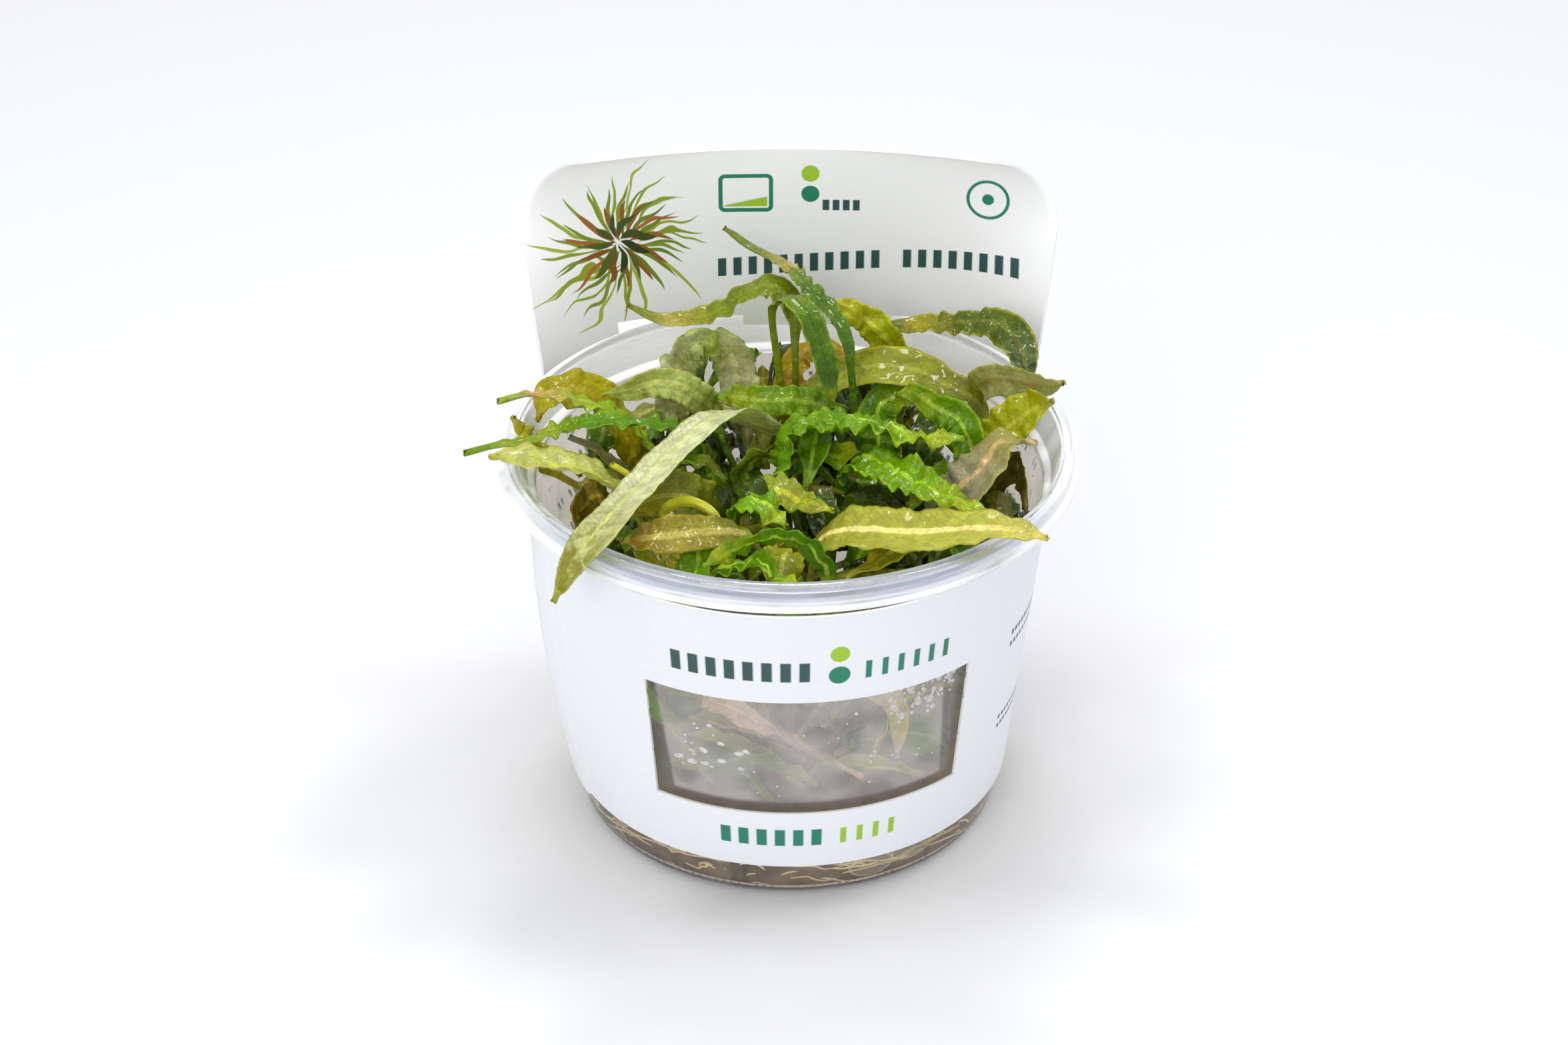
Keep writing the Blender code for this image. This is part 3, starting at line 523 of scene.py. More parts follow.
def cardShader(tree):
    spot = spotOn(tree)
    x, y, z = spot.axes()
    bearing, height, side = readPlace(tree, "cardPlace")
    grain = spot.cloud(0.8, 4.0)
    outside, inside = side.rise(-0.1, 0.1), side.rise(0.1, -0.1)
    band = inside * z.rise(67.0, 65.0)
    shaded = tuple(0.975 * c for c in sleeve["paper"][:3]) + (1,)
    color = grain.rise(0.2, 0.8).blend(shaded, sleeve["paper"])
    color = band.blend(color, sleeve["inner"])
    color = (inside * z.rise(64, 68)).blend(color, sleeve["headerPaper"])
    # no print where the stored bearing jumps from 180 to -180
    clear = 1.0 - y.rise(-1, 2) * abs(x).rise(3.5, 2.5)
    header, front, rear = z.rise(74.2, 75.2) * inside, outside * clear, inside * clear
    for *form, low, high in prints["rosettes"]:
        mask, luck = rosette(x, z, *form)
        color = (mask * header).blend(color, luck.blend(low, high))
    # a rounded frame with a filled slope, and a ring
    frameX, frameZ = prints["frame"]
    dx, dz = abs(x - frameX), abs(z - frameZ)
    halfX, halfZ = prints["frameHalf"]
    over = (dx - halfX).maths("MAXIMUM", 0.0) ** 2.0 + (dz - halfZ).maths("MAXIMUM", 0.0) ** 2.0
    over = over ** 0.5
    outer, inner = over.rise(1.3, 1.15), over.rise(0.5, 0.35)
    slope = inner * (z - x * 0.22).rise(100.9, 100.6) * dx.rise(4.1, 3.9) * dz.rise(2.9, 2.7)
    ring = disc(x, z, *prints["ring"], 4.0) - disc(x, z, *prints["ring"], 3.4)
    small = sum(height.within(*line) for line in prints["smallLines"])
    color = ((outer - inner).maths("MAXIMUM", 0.0) * header).blend(color, sleeve["teal"])
    color = (slope * header).blend(color, sleeve["lime"])
    color = (ring.maths("MAXIMUM", 0.0) * header).blend(color, sleeve["teal"])
    color = (small * blocks(bearing, height, *prints["smallRow"]) * front).blend(color, sleeve["dark"])
    # where each area measures across and up, and where it shows
    areas = {"slanted": (x, z - x * prints["slant"], header), "header": (x, z, header),
             "band": (bearing, height, front), "bandMm": (bearing * 0.79, height, front)}
    for area, ink, *form in prints["marks"]:
        across, up, shown = areas[area]
        mask = (disc if len(form) == 3 else blocks)(across, up, *form)
        color = (mask * shown).blend(color, sleeve[ink])
    # small dashes on the inside, seen between the leaves
    lines = (height / prints["dashPitch"]).maths("FRACT").within(0.3, 0.62, 0.05) * height.within(30, 62)
    frontRow, sideRow = prints["dashRows"]
    dashes = blocks(bearing, height, *frontRow) + blocks(abs(bearing), height, *sideRow)
    dashes = lines * dashes * rear * spot.cloud(0.16, 1.0).rise(0.42, 0.5) * 0.85
    paper = surface(tree, {
        "Base Color": dashes.blend(color, sleeve["teal"]),
        "Roughness": grain.rise(0.0, 1.0) * 0.15 + 0.38, "Normal": grain.bump(0.15, 0.0002)})
    # thin card lets some light through
    lit = Wire.node(tree, "BsdfTranslucent", None, {"Color": sleeve["glowColor"]})
    glow = (band * (1.0 - dashes)).maths("MAXIMUM", 0.0) * sleeve["glow"]
    seeThrough = Wire.node(tree, "BsdfTransparent", None, {"Color": sleeve["throughColor"]})
    return mixed(lightPassing(tree) * sleeve["through"], mixed(glow, paper, lit), seeThrough)


def makeSleeve():
    s = sleeve
    back = [0, s["tabEdge"], s["slotEdge"], s["headerEdge"]]
    flap = [s["flapFrom"], s["flapFrom"] + 0.8, s["flapTo"] - 0.8, s["flapTo"]]
    bearings = back + [91, s["windowFrom"], s["windowTo"]] + flap + [360 - b for b in reversed(back)]
    bearings = split(bearings, 3.0)[:-1]
    corner = s["headerTop"] - s["headerCorner"]
    heights = split([s["foot"], s["windowFoot"], s["windowTop"], s["top"], s["tabFoot"],
                     s["slotTop"], corner], 2.6)
    heights += [corner + s["headerCorner"] * math.sin(math.radians(a))
                for a in (9, 18, 27, 36, 45, 54, 63, 71, 79, 85, 90)]
    count = len(bearings)

    def kept(column, row):
        middle = (bearings[column] + (bearings[(column + 1) % count] or 360)) / 2
        offBack = min(middle, 360 - middle)
        z = (heights[row] + heights[row + 1]) / 2
        if z > s["top"] and offBack > s["headerEdge"]:
            return False
        if s["windowFrom"] < middle < s["windowTo"] and s["windowFoot"] < z < s["windowTop"]:
            return False
        slotTop = s["tabFoot"] if offBack < s["tabEdge"] else s["slotTop"]
        return not (offBack < s["slotEdge"] and s["top"] < z < slotTop)

    cells = [(c, r) for c in range(count) for r in range(len(heights) - 1) if kept(c, r)]
    corners = sorted({((c + i) % count, r + j) for c, r in cells for i in (0, 1) for j in (0, 1)})
    index = {key: n for n, key in enumerate(corners)}
    points = [cardPoint(bearings[c], heights[r], side) for side in (1, -1) for c, r in corners]
    places = [(180 - bearings[c], heights[r], side) for side in (1, -1) for c, r in corners]
    faces, borders = [], {}
    for c, r in cells:
        d = (c + 1) % count
        loop = [index[d, r], index[c, r], index[c, r + 1], index[d, r + 1]]
        faces.append(loop)
        faces.append([n + len(corners) for n in reversed(loop)])
        for a, b in zip(loop, loop[1:] + loop[:1]):
            if borders.pop((b, a), None) is None:
                borders[a, b] = True
    for a, b in borders:
        faces.append([b, a, a + len(corners), b + len(corners)])
    finish = newFinish("printedCard", cardShader)
    made = addMesh("cardSleeve", points, faces, finish, {"cardPlace": places})
    made.data.set_sharp_from_angle(angle=math.radians(60))
    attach(made, "root")
    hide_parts("sleeve")


makeSleeve()
print("sleeve done")


# Gel and roots

gel = {
    "top": 17.2, "meniscus": 0.7, "wet": 0.12, "alpha": 0.82,
    # the bubbles' lighter edge colour is a painted highlight
    "dark": rgb("504132"), "light": rgb("7c6c58"), "bubble": rgb("aa9e8c"), "bubbleEdge": rgb("d8d2c4"),
    "bubbles": ((15.2, 5.2, 4.4), (23.6, 6.4, 4.6)), "bubbleTall": 2.6,     # arc, height, width
    "arcRadius": 39.0,
    "rootColor": rgb("baa474"), "rootTip": rgb("decea0"),
    "wallRoots": 150, "wallSteps": 26, "wallThick": (0.4, 0.2),
    "deepRoots": 60, "deepSteps": 20, "deepThick": (0.45, 0.25), "deepTop": 17.0,
    "cornerTop": 3.4,       # below it, roots keep off the rounded corner
}

crownNames = ("crown_back", "crown_left", "crown_right", "crown_front")


def gelShader(tree):
    spot = spotOn(tree)
    x, y, z = spot.axes()
    cloud = spot.cloud(0.07, 5.0, 0.6, 1.5)
    fine = spot.cloud(0.35, 3.0)
    arc = x.maths("ARCTAN2", y * -1.0) * gel["arcRadius"]
    color = (cloud * 0.7 + fine * 0.3).rise(0.34, 0.64).blend(gel["dark"], gel["light"])
    # flat bubbles against the wall: paler gel inside each, with a painted highlight round its edge
    for centre, height, wide in gel["bubbles"]:
        away = ((arc - centre) / wide) ** 2.0 + ((z - height) / gel["bubbleTall"]) ** 2.0
        away = away ** 0.5
        color = (away.rise(1.0, 0.9) * 0.42).blend(color, gel["bubble"])
        color = (away.within(0.9, 1.0, 0.04) * 0.5).blend(color, gel["bubbleEdge"])
    return surface(tree, {
        "Base Color": color, "Roughness": 0.12, "IOR": 1.34,
        "Alpha": cloud.rise(0.3, 0.7) * 0.16 + gel["alpha"], "Normal": fine.bump(0.3, 0.0004)})


def makeGel():
    def side(z):
        return innerRadius(z) + gel["wet"]

    floor, base, top = cup["floor"] - gel["wet"], cup["baseRadius"], gel["top"]
    profile = [(0, floor), (base, floor), (base + 1.3, floor + 0.7), (side(3.0), 3.2),
               (side(10), 10), (side(top), top + gel["meniscus"]), (side(top) - 0.5, top + 0.35),
               (side(top) - 1.4, top + 0.1), (side(top) - 4, top), (0, top)]
    points, faces = turned(softened(profile, 0.5), 160)
    made = addMesh("gelBody", points, faces, newFinish("brownGel", gelShader))
    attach(made, "root")
    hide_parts("gel")


def tube(line, radii, sides=6):
    line = [Vector(p) for p in line]
    side = None
    rings = []
    for i, middle in enumerate(line):
        tangent = (line[min(i + 1, len(line) - 1)] - line[max(i - 1, 0)]).normalized()
        if side is None:
            side = tangent.orthogonal().normalized()
        side = (side - tangent * side.dot(tangent)).normalized()
        other = tangent.cross(side)
        rings.append([middle + (side * math.cos(a) + other * math.sin(a)) * radii[i]
                      for a in (2 * math.pi * k / sides for k in range(sides))])
    return np.array(rings)


def rootShader(tree):
    luck = readPlace(tree, "piecePlace")[0]
    grain = spotOn(tree).cloud(0.5, 3.0)
    color = (luck * 0.6 + grain * 0.4).rise(0.2, 0.8).blend(gel["rootColor"], gel["rootTip"])
    return surface(tree, {"Base Color": color, "Roughness": 0.4, "Normal": grain.bump(0.3, 0.0002)})


def wallRoot(luck):
    # a root that comes to the wall and runs along it
    turn, z = luck.uniform(0, 2 * math.pi), luck.choice((luck.uniform(2.6, 8), luck.uniform(3, 15)))
    span = luck.uniform(0.2, 0.9) * luck.choice((-1, 1))
    drop, wander = luck.uniform(-5, 3), luck.uniform(0, 50)
    line = []
    for i in range(gel["wallSteps"]):
        t = i / (gel["wallSteps"] - 1)
        height = z + drop * t + 1.3 * wobble(wander, t * 4, 0)
        height = min(max(height, 1.9), gel["top"] - 0.8)
        depth = max(wobble(wander, t * 3, 9) * 0.5, 0)
        room = innerRadius(height) + 0.02 - depth - 5.0 * (1 - t) ** 6
        if height < gel["cornerTop"]:
            room -= (gel["cornerTop"] - height) * 0.45
        angle = turn + span * t + 0.05 * wobble(wander, t * 5, 3)
        line.append((room * math.sin(angle), room * math.cos(angle), height))
    return line


def deepRoot(luck, crowns):
    # a root that runs down and out from a crown
    low, high = luck.choice(crowns)
    middle = (low + high) / 2 / mm
    turn = luck.uniform(0, 2 * math.pi)
    reach, wander = luck.uniform(10, 22), luck.uniform(0, 50)
    end = luck.uniform(1.8, 6)
    line = []
    for i in range(gel["deepSteps"]):
        t = i / (gel["deepSteps"] - 1)
        x = middle.x + reach * t * math.sin(turn) + 2 * wobble(wander, t * 3, 1)
        y = middle.y + reach * t * math.cos(turn) + 2 * wobble(wander, t * 3, 5)
        z = gel["deepTop"] + (end - gel["deepTop"]) * t ** 0.8
        most = innerRadius(z) - 1.0 - max(gel["cornerTop"] - z, 0)
        far = math.hypot(x, y)
        if far > most:
            x, y = x * most / far, y * most / far
        line.append((x, y, z))
    return line


def makeRoots():
    luck = random.Random(7)
    crowns = [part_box(name) for name in crownNames]
    pieces = []
    for n in range(gel["wallRoots"] + gel["deepRoots"]):
        atWall = n < gel["wallRoots"]
        line = wallRoot(luck) if atWall else deepRoot(luck, crowns)
        thick, loss = gel["wallThick"] if atWall else gel["deepThick"]
        radii = [thick - loss * (i / (len(line) - 1)) for i in range(len(line))]
        pieces.append(lofted(tube(line, radii), piecePlace=(luck.random(), 0, 0)))
    made = joinMeshes("rootTangle", pieces, newFinish("tanRoot", rootShader))
    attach(made, "root")


makeGel()
makeRoots()
print("gel and roots done")


# Drops and bubbles on the inner wall, with painted glints

beads = {
    # how many, bearing from the front, height, radius, how much longer than wide
    "windowBubbles": (80, (24, 42), (38, 46), (0.25, 0.85), 1.0),
    # flat drops on the wall whose white patches are painted glints
    "wetSpots": (16, (-29, -8), (28, 40), (0.22, 0.6), 1.9),
    "wallDrops": (46, (96, 128), (52, 65), (0.2, 0.5), 1.2),
    "lowDrops": (30, (-30, 40), (24, 44), (0.15, 0.35), 1.0),
}
beadSides = 10
beadFlat = 0.5      # how far a bead stands off the wall, as a share of its radius


def beadShader(tree):
    drop = surface(tree, {
        "Base Color": (1.0, 1.0, 1.0, 1), "Roughness": 0.04, "IOR": 1.33,
        "Transmission Weight": 1.0, "Coat Weight": 1.0, "Coat Roughness": 0.03})
    # white patches over the clear drops, painted glints
    paintedGlint = surface(tree, {"Base Color": rgb("f6f4f0"), "Roughness": 0.2})
    return mixed(spotOn(tree).cloud(0.9, 2.0).rise(0.4, 0.7) * 0.45 + 0.45, drop, paintedGlint)


def beadRings(middle, out, radius, longer, tilt):
    aside, up = Vector((-out.y, out.x, 0)), Vector((0, 0, 1))
    rings = []
    for a in (-80, -50, -18, 18, 50, 80):
        size, lift = math.cos(math.radians(a)), math.sin(math.radians(a))
        ring = []
        for b in (2 * math.pi * k / beadSides for k in range(beadSides)):
            wide, tall = math.cos(b) * longer * size, math.sin(b) * size
            wide, tall = (wide * math.cos(tilt) - tall * math.sin(tilt),
                          wide * math.sin(tilt) + tall * math.cos(tilt))
            ring.append(middle + (aside * wide + up * tall + out * lift * beadFlat) * radius)
        rings.append(ring)
    return np.array(rings)


def makeBeads():
    luck = random.Random(5)
    finish = newFinish("wetBead", beadShader)
    for name, (count, turns, heights, radii, longer) in beads.items():
        pieces = []
        for _ in range(count):
            turn, z = math.radians(luck.uniform(*turns)), luck.uniform(*heights)
            if name == "windowBubbles":
                z = heights[1] - (heights[1] - heights[0]) * luck.random() ** 2
            radius = radii[0] + (radii[1] - radii[0]) * luck.random() ** 2
            out = Vector((math.sin(turn), -math.cos(turn), 0))
            middle = out * (innerRadius(z) - radius * 0.3) + Vector((0, 0, 1)) * z
            pieces.append(lofted(beadRings(middle, out, radius, longer, luck.uniform(-0.5, 0.5))))
        made = joinMeshes(name, pieces, finish)
        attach(made, "root")


makeBeads()
print("drops done")


# Leaves

# each look: colours of the leaf's foot, blade, blotches, midrib, edge and tip and of the light
# through it; then the midrib's width and strength, vein strength, roughness, how much light
# passes and how much of the blade is see-through
leafLooks = {
    "pale": dict(
        foot="76701e", blade="a4ac5c", mottle="889442", rib="deda70", edge="b2b44e", tip="a8a21e",
        glow="c4d060", ribWide=0.5, ribShow=0.8, vein=0.3, gloss=0.3, glowShare=0.36, through=0.1),
    "olive": dict(
        foot="525c0a", blade="808814", mottle="5a640a", rib="bab854", edge="a29e16", tip="aca018",
        glow="b0b814", ribWide=0.4, ribShow=0.7, vein=0.35, gloss=0.28, glowShare=0.26),
    "green": dict(
        foot="385006", blade="5a7c0a", mottle="3c5c06", rib="96ac36", edge="7a9410", tip="928e18",
        glow="84aa0a", ribWide=0.34, ribShow=0.6, vein=0.25, gloss=0.22, glowShare=0.24),
    "bright": dict(
        foot="3e6204", blade="6a9406", mottle="467604", rib="b2cc38", edge="8cac14", tip="a0a818",
        glow="92c408", ribWide=0.36, ribShow=0.75, vein=0.22, gloss=0.17, glowShare=0.28),
    "dark": dict(
        foot="222c04", blade="344a06", mottle="202e04", rib="5c6c1a", edge="4a5a0a", tip="54500e",
        glow="546808", ribWide=0.3, ribShow=0.5, vein=0.2, gloss=0.2, glowShare=0.15),
    "lime": dict(
        foot="6c7408", blade="989e0a", mottle="788206", rib="ccc854", edge="b2ac10", tip="b8a818",
        glow="cccc10", ribWide=0.45, ribShow=0.7, vein=0.35, gloss=0.26, glowShare=0.34),
    "glassy": dict(
        foot="5c5c34", blade="8c8a60", mottle="6a6a42", rib="c6a468", edge="a4a242", tip="969242",
        glow="aca870", ribWide=0.5, ribShow=0.75, vein=0.35, gloss=0.2, glowShare=0.3, through=0.28),
    "brown": dict(
        foot="52440e", blade="786a18", mottle="584c0e", rib="aa983a", edge="8c821e", tip="745c18",
        glow="a88c18", ribWide=0.4, ribShow=0.6, vein=0.4, gloss=0.26, glowShare=0.24, through=0.05),
    "orange": dict(
        foot="967a08", blade="bea40a", mottle="a08208", rib="d8b254", edge="ccb028", tip="ce961e",
        glow="ecbe0c", ribWide=0.4, ribShow=0.6, vein=0.4, gloss=0.3, glowShare=0.4),
    "yellow": dict(
        foot="969c10", blade="bcbe18", mottle="a6ac12", rib="cecc3c", edge="bab81e", tip="c4be32",
        glow="ded614", ribWide=0.3, ribShow=0.3, vein=0.1, gloss=0.25, glowShare=0.3),
}

# what a leaf has of its own over the look that its solid names: its form, which is the height
# and length of its edge waves, fine teeth and crumpling of the blade, and its colours
leafOwn = {
    "long_pale": dict(
        form=(0.28, 12.0, 0.05, 0.3), foot="605418", blade="cccea6", mottle="b6bc8a", rib="dade64",
        edge="bcc07c", tip="807a08", ribWide=0.32, ribShow=0.6, through=0.12),
    "tail_back": dict(
        form=(0.6, 7.0, 0.1, 0.3), foot="505c06", blade="68780a", rib="828c28", edge="96961a",
        tip="a0943c", ribShow=0.4),
    "hoop": dict(
        form=(0.4, 7.0, 0.1, 0.3), foot="828a0e", blade="5c7a0c", rib="425c0c", edge="869e28",
        tip="426204"),
    "spear": dict(form=(0.7, 3.6, 0.3, 0.3), foot="466a08", blade="628216", rib="466010", tip="ccb060"),
    "crinkled_back": dict(
        form=(1.2, 4.2, 0.4, 0.8), foot="78820a", blade="9aa40e", mottle="74820a", tip="b0ae14"),
    "broad_arch": dict(
        form=(0.4, 8.0, 0.12, 0.4), foot="747c06", blade="929622", mottle="586006", rib="b2b050",
        tip="606604", ribShow=0.5, vein=0.75),
    "right_arch": dict(
        form=(0.8, 4.8, 0.25, 0.8), foot="485832", blade="4e5c08", mottle="3a4606", rib="6e7028",
        tip="928a14"),
    "right_pale": dict(
        form=(0.8, 5.5, 0.2, 0.5), foot="92944e", blade="a8a868", mottle="8c8e50", rib="92743e",
        tip="aaa868"),
    "right_cup": dict(
        form=(1.0, 6.5, 0.2, 0.7), foot="687022", blade="929608", mottle="7c8206", rib="beb846",
        tip="9c9e0a"),
    "right_glassy": dict(
        form=(0.9, 6.5, 0.2, 0.8), foot="a09a78", blade="94906e", mottle="746c54", rib="c8a068",
        edge="b0ac4a", ribWide=0.7),
    "right_wall": dict(
        form=(0.5, 6.0, 0.2, 0.6), foot="323006", blade="464606", mottle="303004", rib="6e6418",
        edge="605e0a", tip="50420e"),
    "front_right": dict(
        form=(0.5, 8.5, 0.15, 0.4), foot="969428", blade="a2a23a", mottle="848622", rib="f0da8a",
        edge="969628", tip="bcb256", ribWide=0.75, ribShow=0.85),
    "middle_bright": dict(form=(1.1, 4.0, 0.2, 1.9), foot="5c840a", blade="749a0a", rib="b0ce4c"),
    "diagonal_bright": dict(form=(1.0, 4.2, 0.2, 1.7), blade="6c9206", rib="a4c428"),
    "left_serrated": dict(
        form=(0.7, 4.2, 0.3, 0.9), foot="467006", blade="628e06", rib="6e9014", tip="c0bc2c"),
    "left_hump": dict(
        form=(0.8, 7.0, 0.1, 0.6), foot="807608", blade="a09808", mottle="867e06", rib="b6a42c",
        edge="969e14", tip="a49a0e", glow="c4b808", vein=0.5, glowShare=0.36),
    "left_folded": dict(
        form=(0.45, 7.0, 0.12, 0.6), foot="9ea228", blade="babc6c", mottle="a8ae54", rib="cecc46",
        edge="b2ac28", tip="bab86c"),
    "left_green": dict(
        form=(0.9, 5.0, 0.25, 0.6), foot="507608", blade="8a9e12", mottle="68880c", tip="a88046"),
    "left_drape": dict(foot="787014", blade="b8b614"),
    "left_grey": dict(foot="787a54", blade="6c6e50", mottle="585a3e", rib="808060", through=0.12),
    "left_smoky": dict(
        form=(0.8, 6.0, 0.2, 0.6), foot="7a8422", blade="b0bc68", rib="bec464", tip="848e28"),
    "front_left": dict(
        form=(0.6, 7.0, 0.2, 0.5), foot="586008", blade="867e24", rib="b8ac5c", ribWide=0.7),
    "front_green": dict(form=(0.8, 5.5, 0.3, 0.8), foot="3c6004", blade="527604", edge="70920a"),
    "front_pale": dict(
        form=(1.0, 4.6, 0.3, 1.0), foot="607614", blade="96a032", mottle="6e821a", rib="cccc24",
        ribWide=0.6),
    "crumpled_left": dict(
        form=(1.5, 4.0, 0.4, 2.4), foot="80843c", blade="c6c896", mottle="8c944e", rib="b0ba64",
        edge="92ae14", tip="96ac28", glow="d2d68c", ribShow=0.4, through=0.34),
    "crumpled_back": dict(
        form=(1.5, 4.0, 0.4, 2.4), foot="707038", blade="bebc8c", mottle="808446", rib="aab064",
        edge="86a014", tip="92a032", glow="cccc88", ribShow=0.4, through=0.34),
    "orange_back": dict(tip="bea01e", glow="dcbe0a"),
    "middle_back": dict(form=(1.0, 4.0, 0.35, 1.2), blade="769814", rib="aac246"),
    "under_arch": dict(form=(1.1, 4.2, 0.3, 1.2), foot="324a06", blade="54740a"),
    "window_pink": dict(foot="be9c7e", blade="cca88c", mottle="b08a6c", rib="debea0"),
    "window_curved": dict(foot="b49e7c", blade="c8b08e", mottle="a6906c", rib="dec49c"),
    "right_small": dict(form=(0.6, 5.5, 0.2, 0.8)),
    "right_bright": dict(form=(0.9, 4.6, 0.3, 0.9)),
    "middle_dark": dict(form=(1.1, 4.2, 0.3, 1.2)),
    "front_dark": dict(form=(1.0, 4.4, 0.3, 1.2)),
    "front_olive": dict(form=(0.8, 6.0, 0.2, 0.9)),
    "left_brown": dict(form=(1.0, 4.6, 0.3, 1.2)),
    "stalk_yellow": dict(form=(0.0, 5.0, 0.0, 0.0)),
}

leafBuild = {
    "rowStep": 0.7, "columns": 13, "thin": 0.26, "ribThick": 0.62, "ribWidth": 0.42,
    "stalkThick": 0.35, "narrowest": 0.45, "tipLength": 3.5, "tipHalf": 0.07,
    "bladeHalf": (0.9, 2.2),        # half widths at which a stalk opens into a blade
    "innerForm": (0.9, 5.0, 0.25, 0.8),
}


def leafRings(node):
    # the solid's rings of four points from its foot: left edge, upper rib, right edge, lower rib
    index, points, links, numbers = {}, [], {}, []
    for vertex in node.data.vertices:
        key = tuple(round(c * 50000) for c in vertex.co)
        if key not in index:
            index[key] = len(points)
            points.append(np.array(vertex.co) / mm)
            links[index[key]] = set()
        numbers.append(index[key])
    for edge in node.data.edges:
        a, b = (numbers[v] for v in edge.vertices)
        links[a].add(b)
        links[b].add(a)
    layer = sorted(links, key=lambda n: points[n][2])[:4]
    seen, layers = set(layer), []
    while layer:
        layers.append(layer)
        layer = sorted({m for n in layer for m in links[n]} - seen)
        seen |= set(layer)
    first = [points[n] for n in layers[0]]
    pairs = itertools.combinations(range(4), 2)
    wide = max(pairs, key=lambda pair: np.linalg.norm(first[pair[0]] - first[pair[1]]))
    ribs = [n for n in range(4) if n not in wide]
    rings = [np.array([first[n] for n in (wide[0], ribs[0], wide[1], ribs[1])])]
    for row in layers[1:]:
        here = np.array([points[n] for n in row])
        before = rings[-1] - rings[-1].mean(axis=0)
        spread = here - here.mean(axis=0)
        order = min(itertools.permutations(range(4)),
                    key=lambda p: ((spread[list(p)] - before) ** 2).sum())
        rings.append(here[list(order)])
    return np.array(rings)


def calmed(rows):
    # each row with a share of its neighbours, which takes out the solid's zigzag
    padded = np.concatenate([rows[:1], rows, rows[-1:]])
    return (padded[:-2] + 2 * padded[1:-1] + padded[2:]) / 4


def unit(rows):
    return rows / np.maximum(np.linalg.norm(rows, axis=-1, keepdims=True), 1e-9)


def leafFrame(rings):
    middles = (rings[:, 1] + rings[:, 3]) / 2
    spans = rings[:, 2] - rings[:, 0]
    halves = np.linalg.norm(spans, axis=1) / 2
    across = unit(calmed(unit(spans)))
    over = unit(calmed(unit(rings[:, 1] - rings[:, 3])))
    lifts = (calmed((rings[:, 0] + rings[:, 2]) / 2 - middles) * over).sum(axis=1)
    return middles, across, over, halves, lifts


def edgeSwing(w, length, seed, first):
    # how far one edge of the blade swings up or down at w mm from the foot
    at = Vector((w / length, seed * 3.1 + first, 0))
    phase = 2 * math.pi * w / length + seed + first + 5.0 * noise.noise(at * 0.5)
    loud = max(0.15, 0.7 + 1.5 * noise.noise(at * 0.45 + Vector((0, 9, 5))))
    curl = 1.6 * wobble(w * 0.045, seed * 2.3 + first, 2)
    ruffle = 1.5 * wobble(w * 1.7 / length, seed * 1.9 + first, 6)
    return 0.5 * math.sin(phase) * loud + ruffle + curl


def bladeMesh(parts, wave, length, teeth, crumple, seed, step=None, columns=None):
    # a thin waved leaf with a thicker midrib along the frame of its solid
    middles, across, over, halves, lifts = parts
    build = leafBuild
    columns = columns or build["columns"]
    size = np.linalg.norm(np.diff(middles, axis=0), axis=1).sum()
    rows = max(int(size / (step or build["rowStep"])), 12)
    places = np.linspace(0, len(middles) - 1, rows)
    line = along(middles, places)
    half = np.maximum(along(halves, places)[:, 0], build["narrowest"])
    tangent = unit(np.gradient(line, axis=0))
    side = along(across, places)
    side = unit(side - tangent * (side * tangent).sum(axis=1, keepdims=True))
    top = unit(np.cross(tangent, side))
    if (top * along(over, places)).sum() < 0:
        top = -top
    walked = np.linspace(0, size, rows)
    half = half * np.clip((size - walked) / build["tipLength"], 0, 1) ** 0.6 + build["tipHalf"]
    blade = smooth(*build["bladeHalf"], half)
    share = np.cumsum(blade) / max(blade.sum(), 1e-9)
    u = np.linspace(-1, 1, columns)
    u = np.sign(u) * np.abs(u) ** 0.85
    grid = line[:, None] + side[:, None] * (half[:, None] * u)[..., None]
    height = along(lifts, places) * np.abs(u) ** 1.3
    swing = np.zeros((rows, columns))
    for i, w in enumerate(walked):
        for sign, first in ((-1, 11.3), (1, 47.7)):
            swing[i, (u * sign) > 0] = edgeSwing(w, length, seed, first)
    height = height + swing * wave * blade[:, None] * np.abs(u) ** 1.5
    for i, w in enumerate(walked):
        for j in range(columns):
            at = Vector((w * 0.24, half[i] * u[j] * 0.3, seed * 7.7))
            bumps = noise.noise(at) + 0.5 * noise.noise(at * 2.1) + 0.36 * noise.noise(at * 4.3)
            height[i, j] += crumple * blade[i] * bumps
    tooth = teeth * blade * np.array([wobble(w * 1.3, seed * 5.3, 0) for w in walked])
    grid += side[:, None] * tooth[:, None, None] * (np.abs(u) ** 4 * np.sign(u))[:, None]
    grid += top[:, None] * height[..., None]
    reach = half[:, None] * np.abs(u)
    thick = build["thin"] + build["ribThick"] * np.exp(-(reach / build["ribWidth"]) ** 2)
    thick = thick + (1 - blade)[:, None] * build["stalkThick"]
    thick *= np.sqrt(np.clip(1.05 - np.abs(u) ** 4, 0.05, 1))
    normals = unit(np.cross(np.gradient(grid, axis=0), np.gradient(grid, axis=1)))
    upper = grid + normals * (thick * 0.45)[..., None]
    lower = grid - normals * (thick * 0.55)[..., None]

    def stored(*values):
        # three values a point, over the upper side and back under the lower one
        both = np.stack([np.zeros((rows, columns)) + value for value in values], axis=-1)
        return np.concatenate([both, both[:, ::-1]], axis=1).reshape(-1, 3)

    rings = np.concatenate([upper, lower[:, ::-1]], axis=1)
    return rings.reshape(-1, 3), loft(rings), {
        "leafPlace": stored(half[:, None] * u, walked[:, None], share[:, None]),
        "leafShape": stored(half[:, None], seed % 1.0, blade[:, None])}


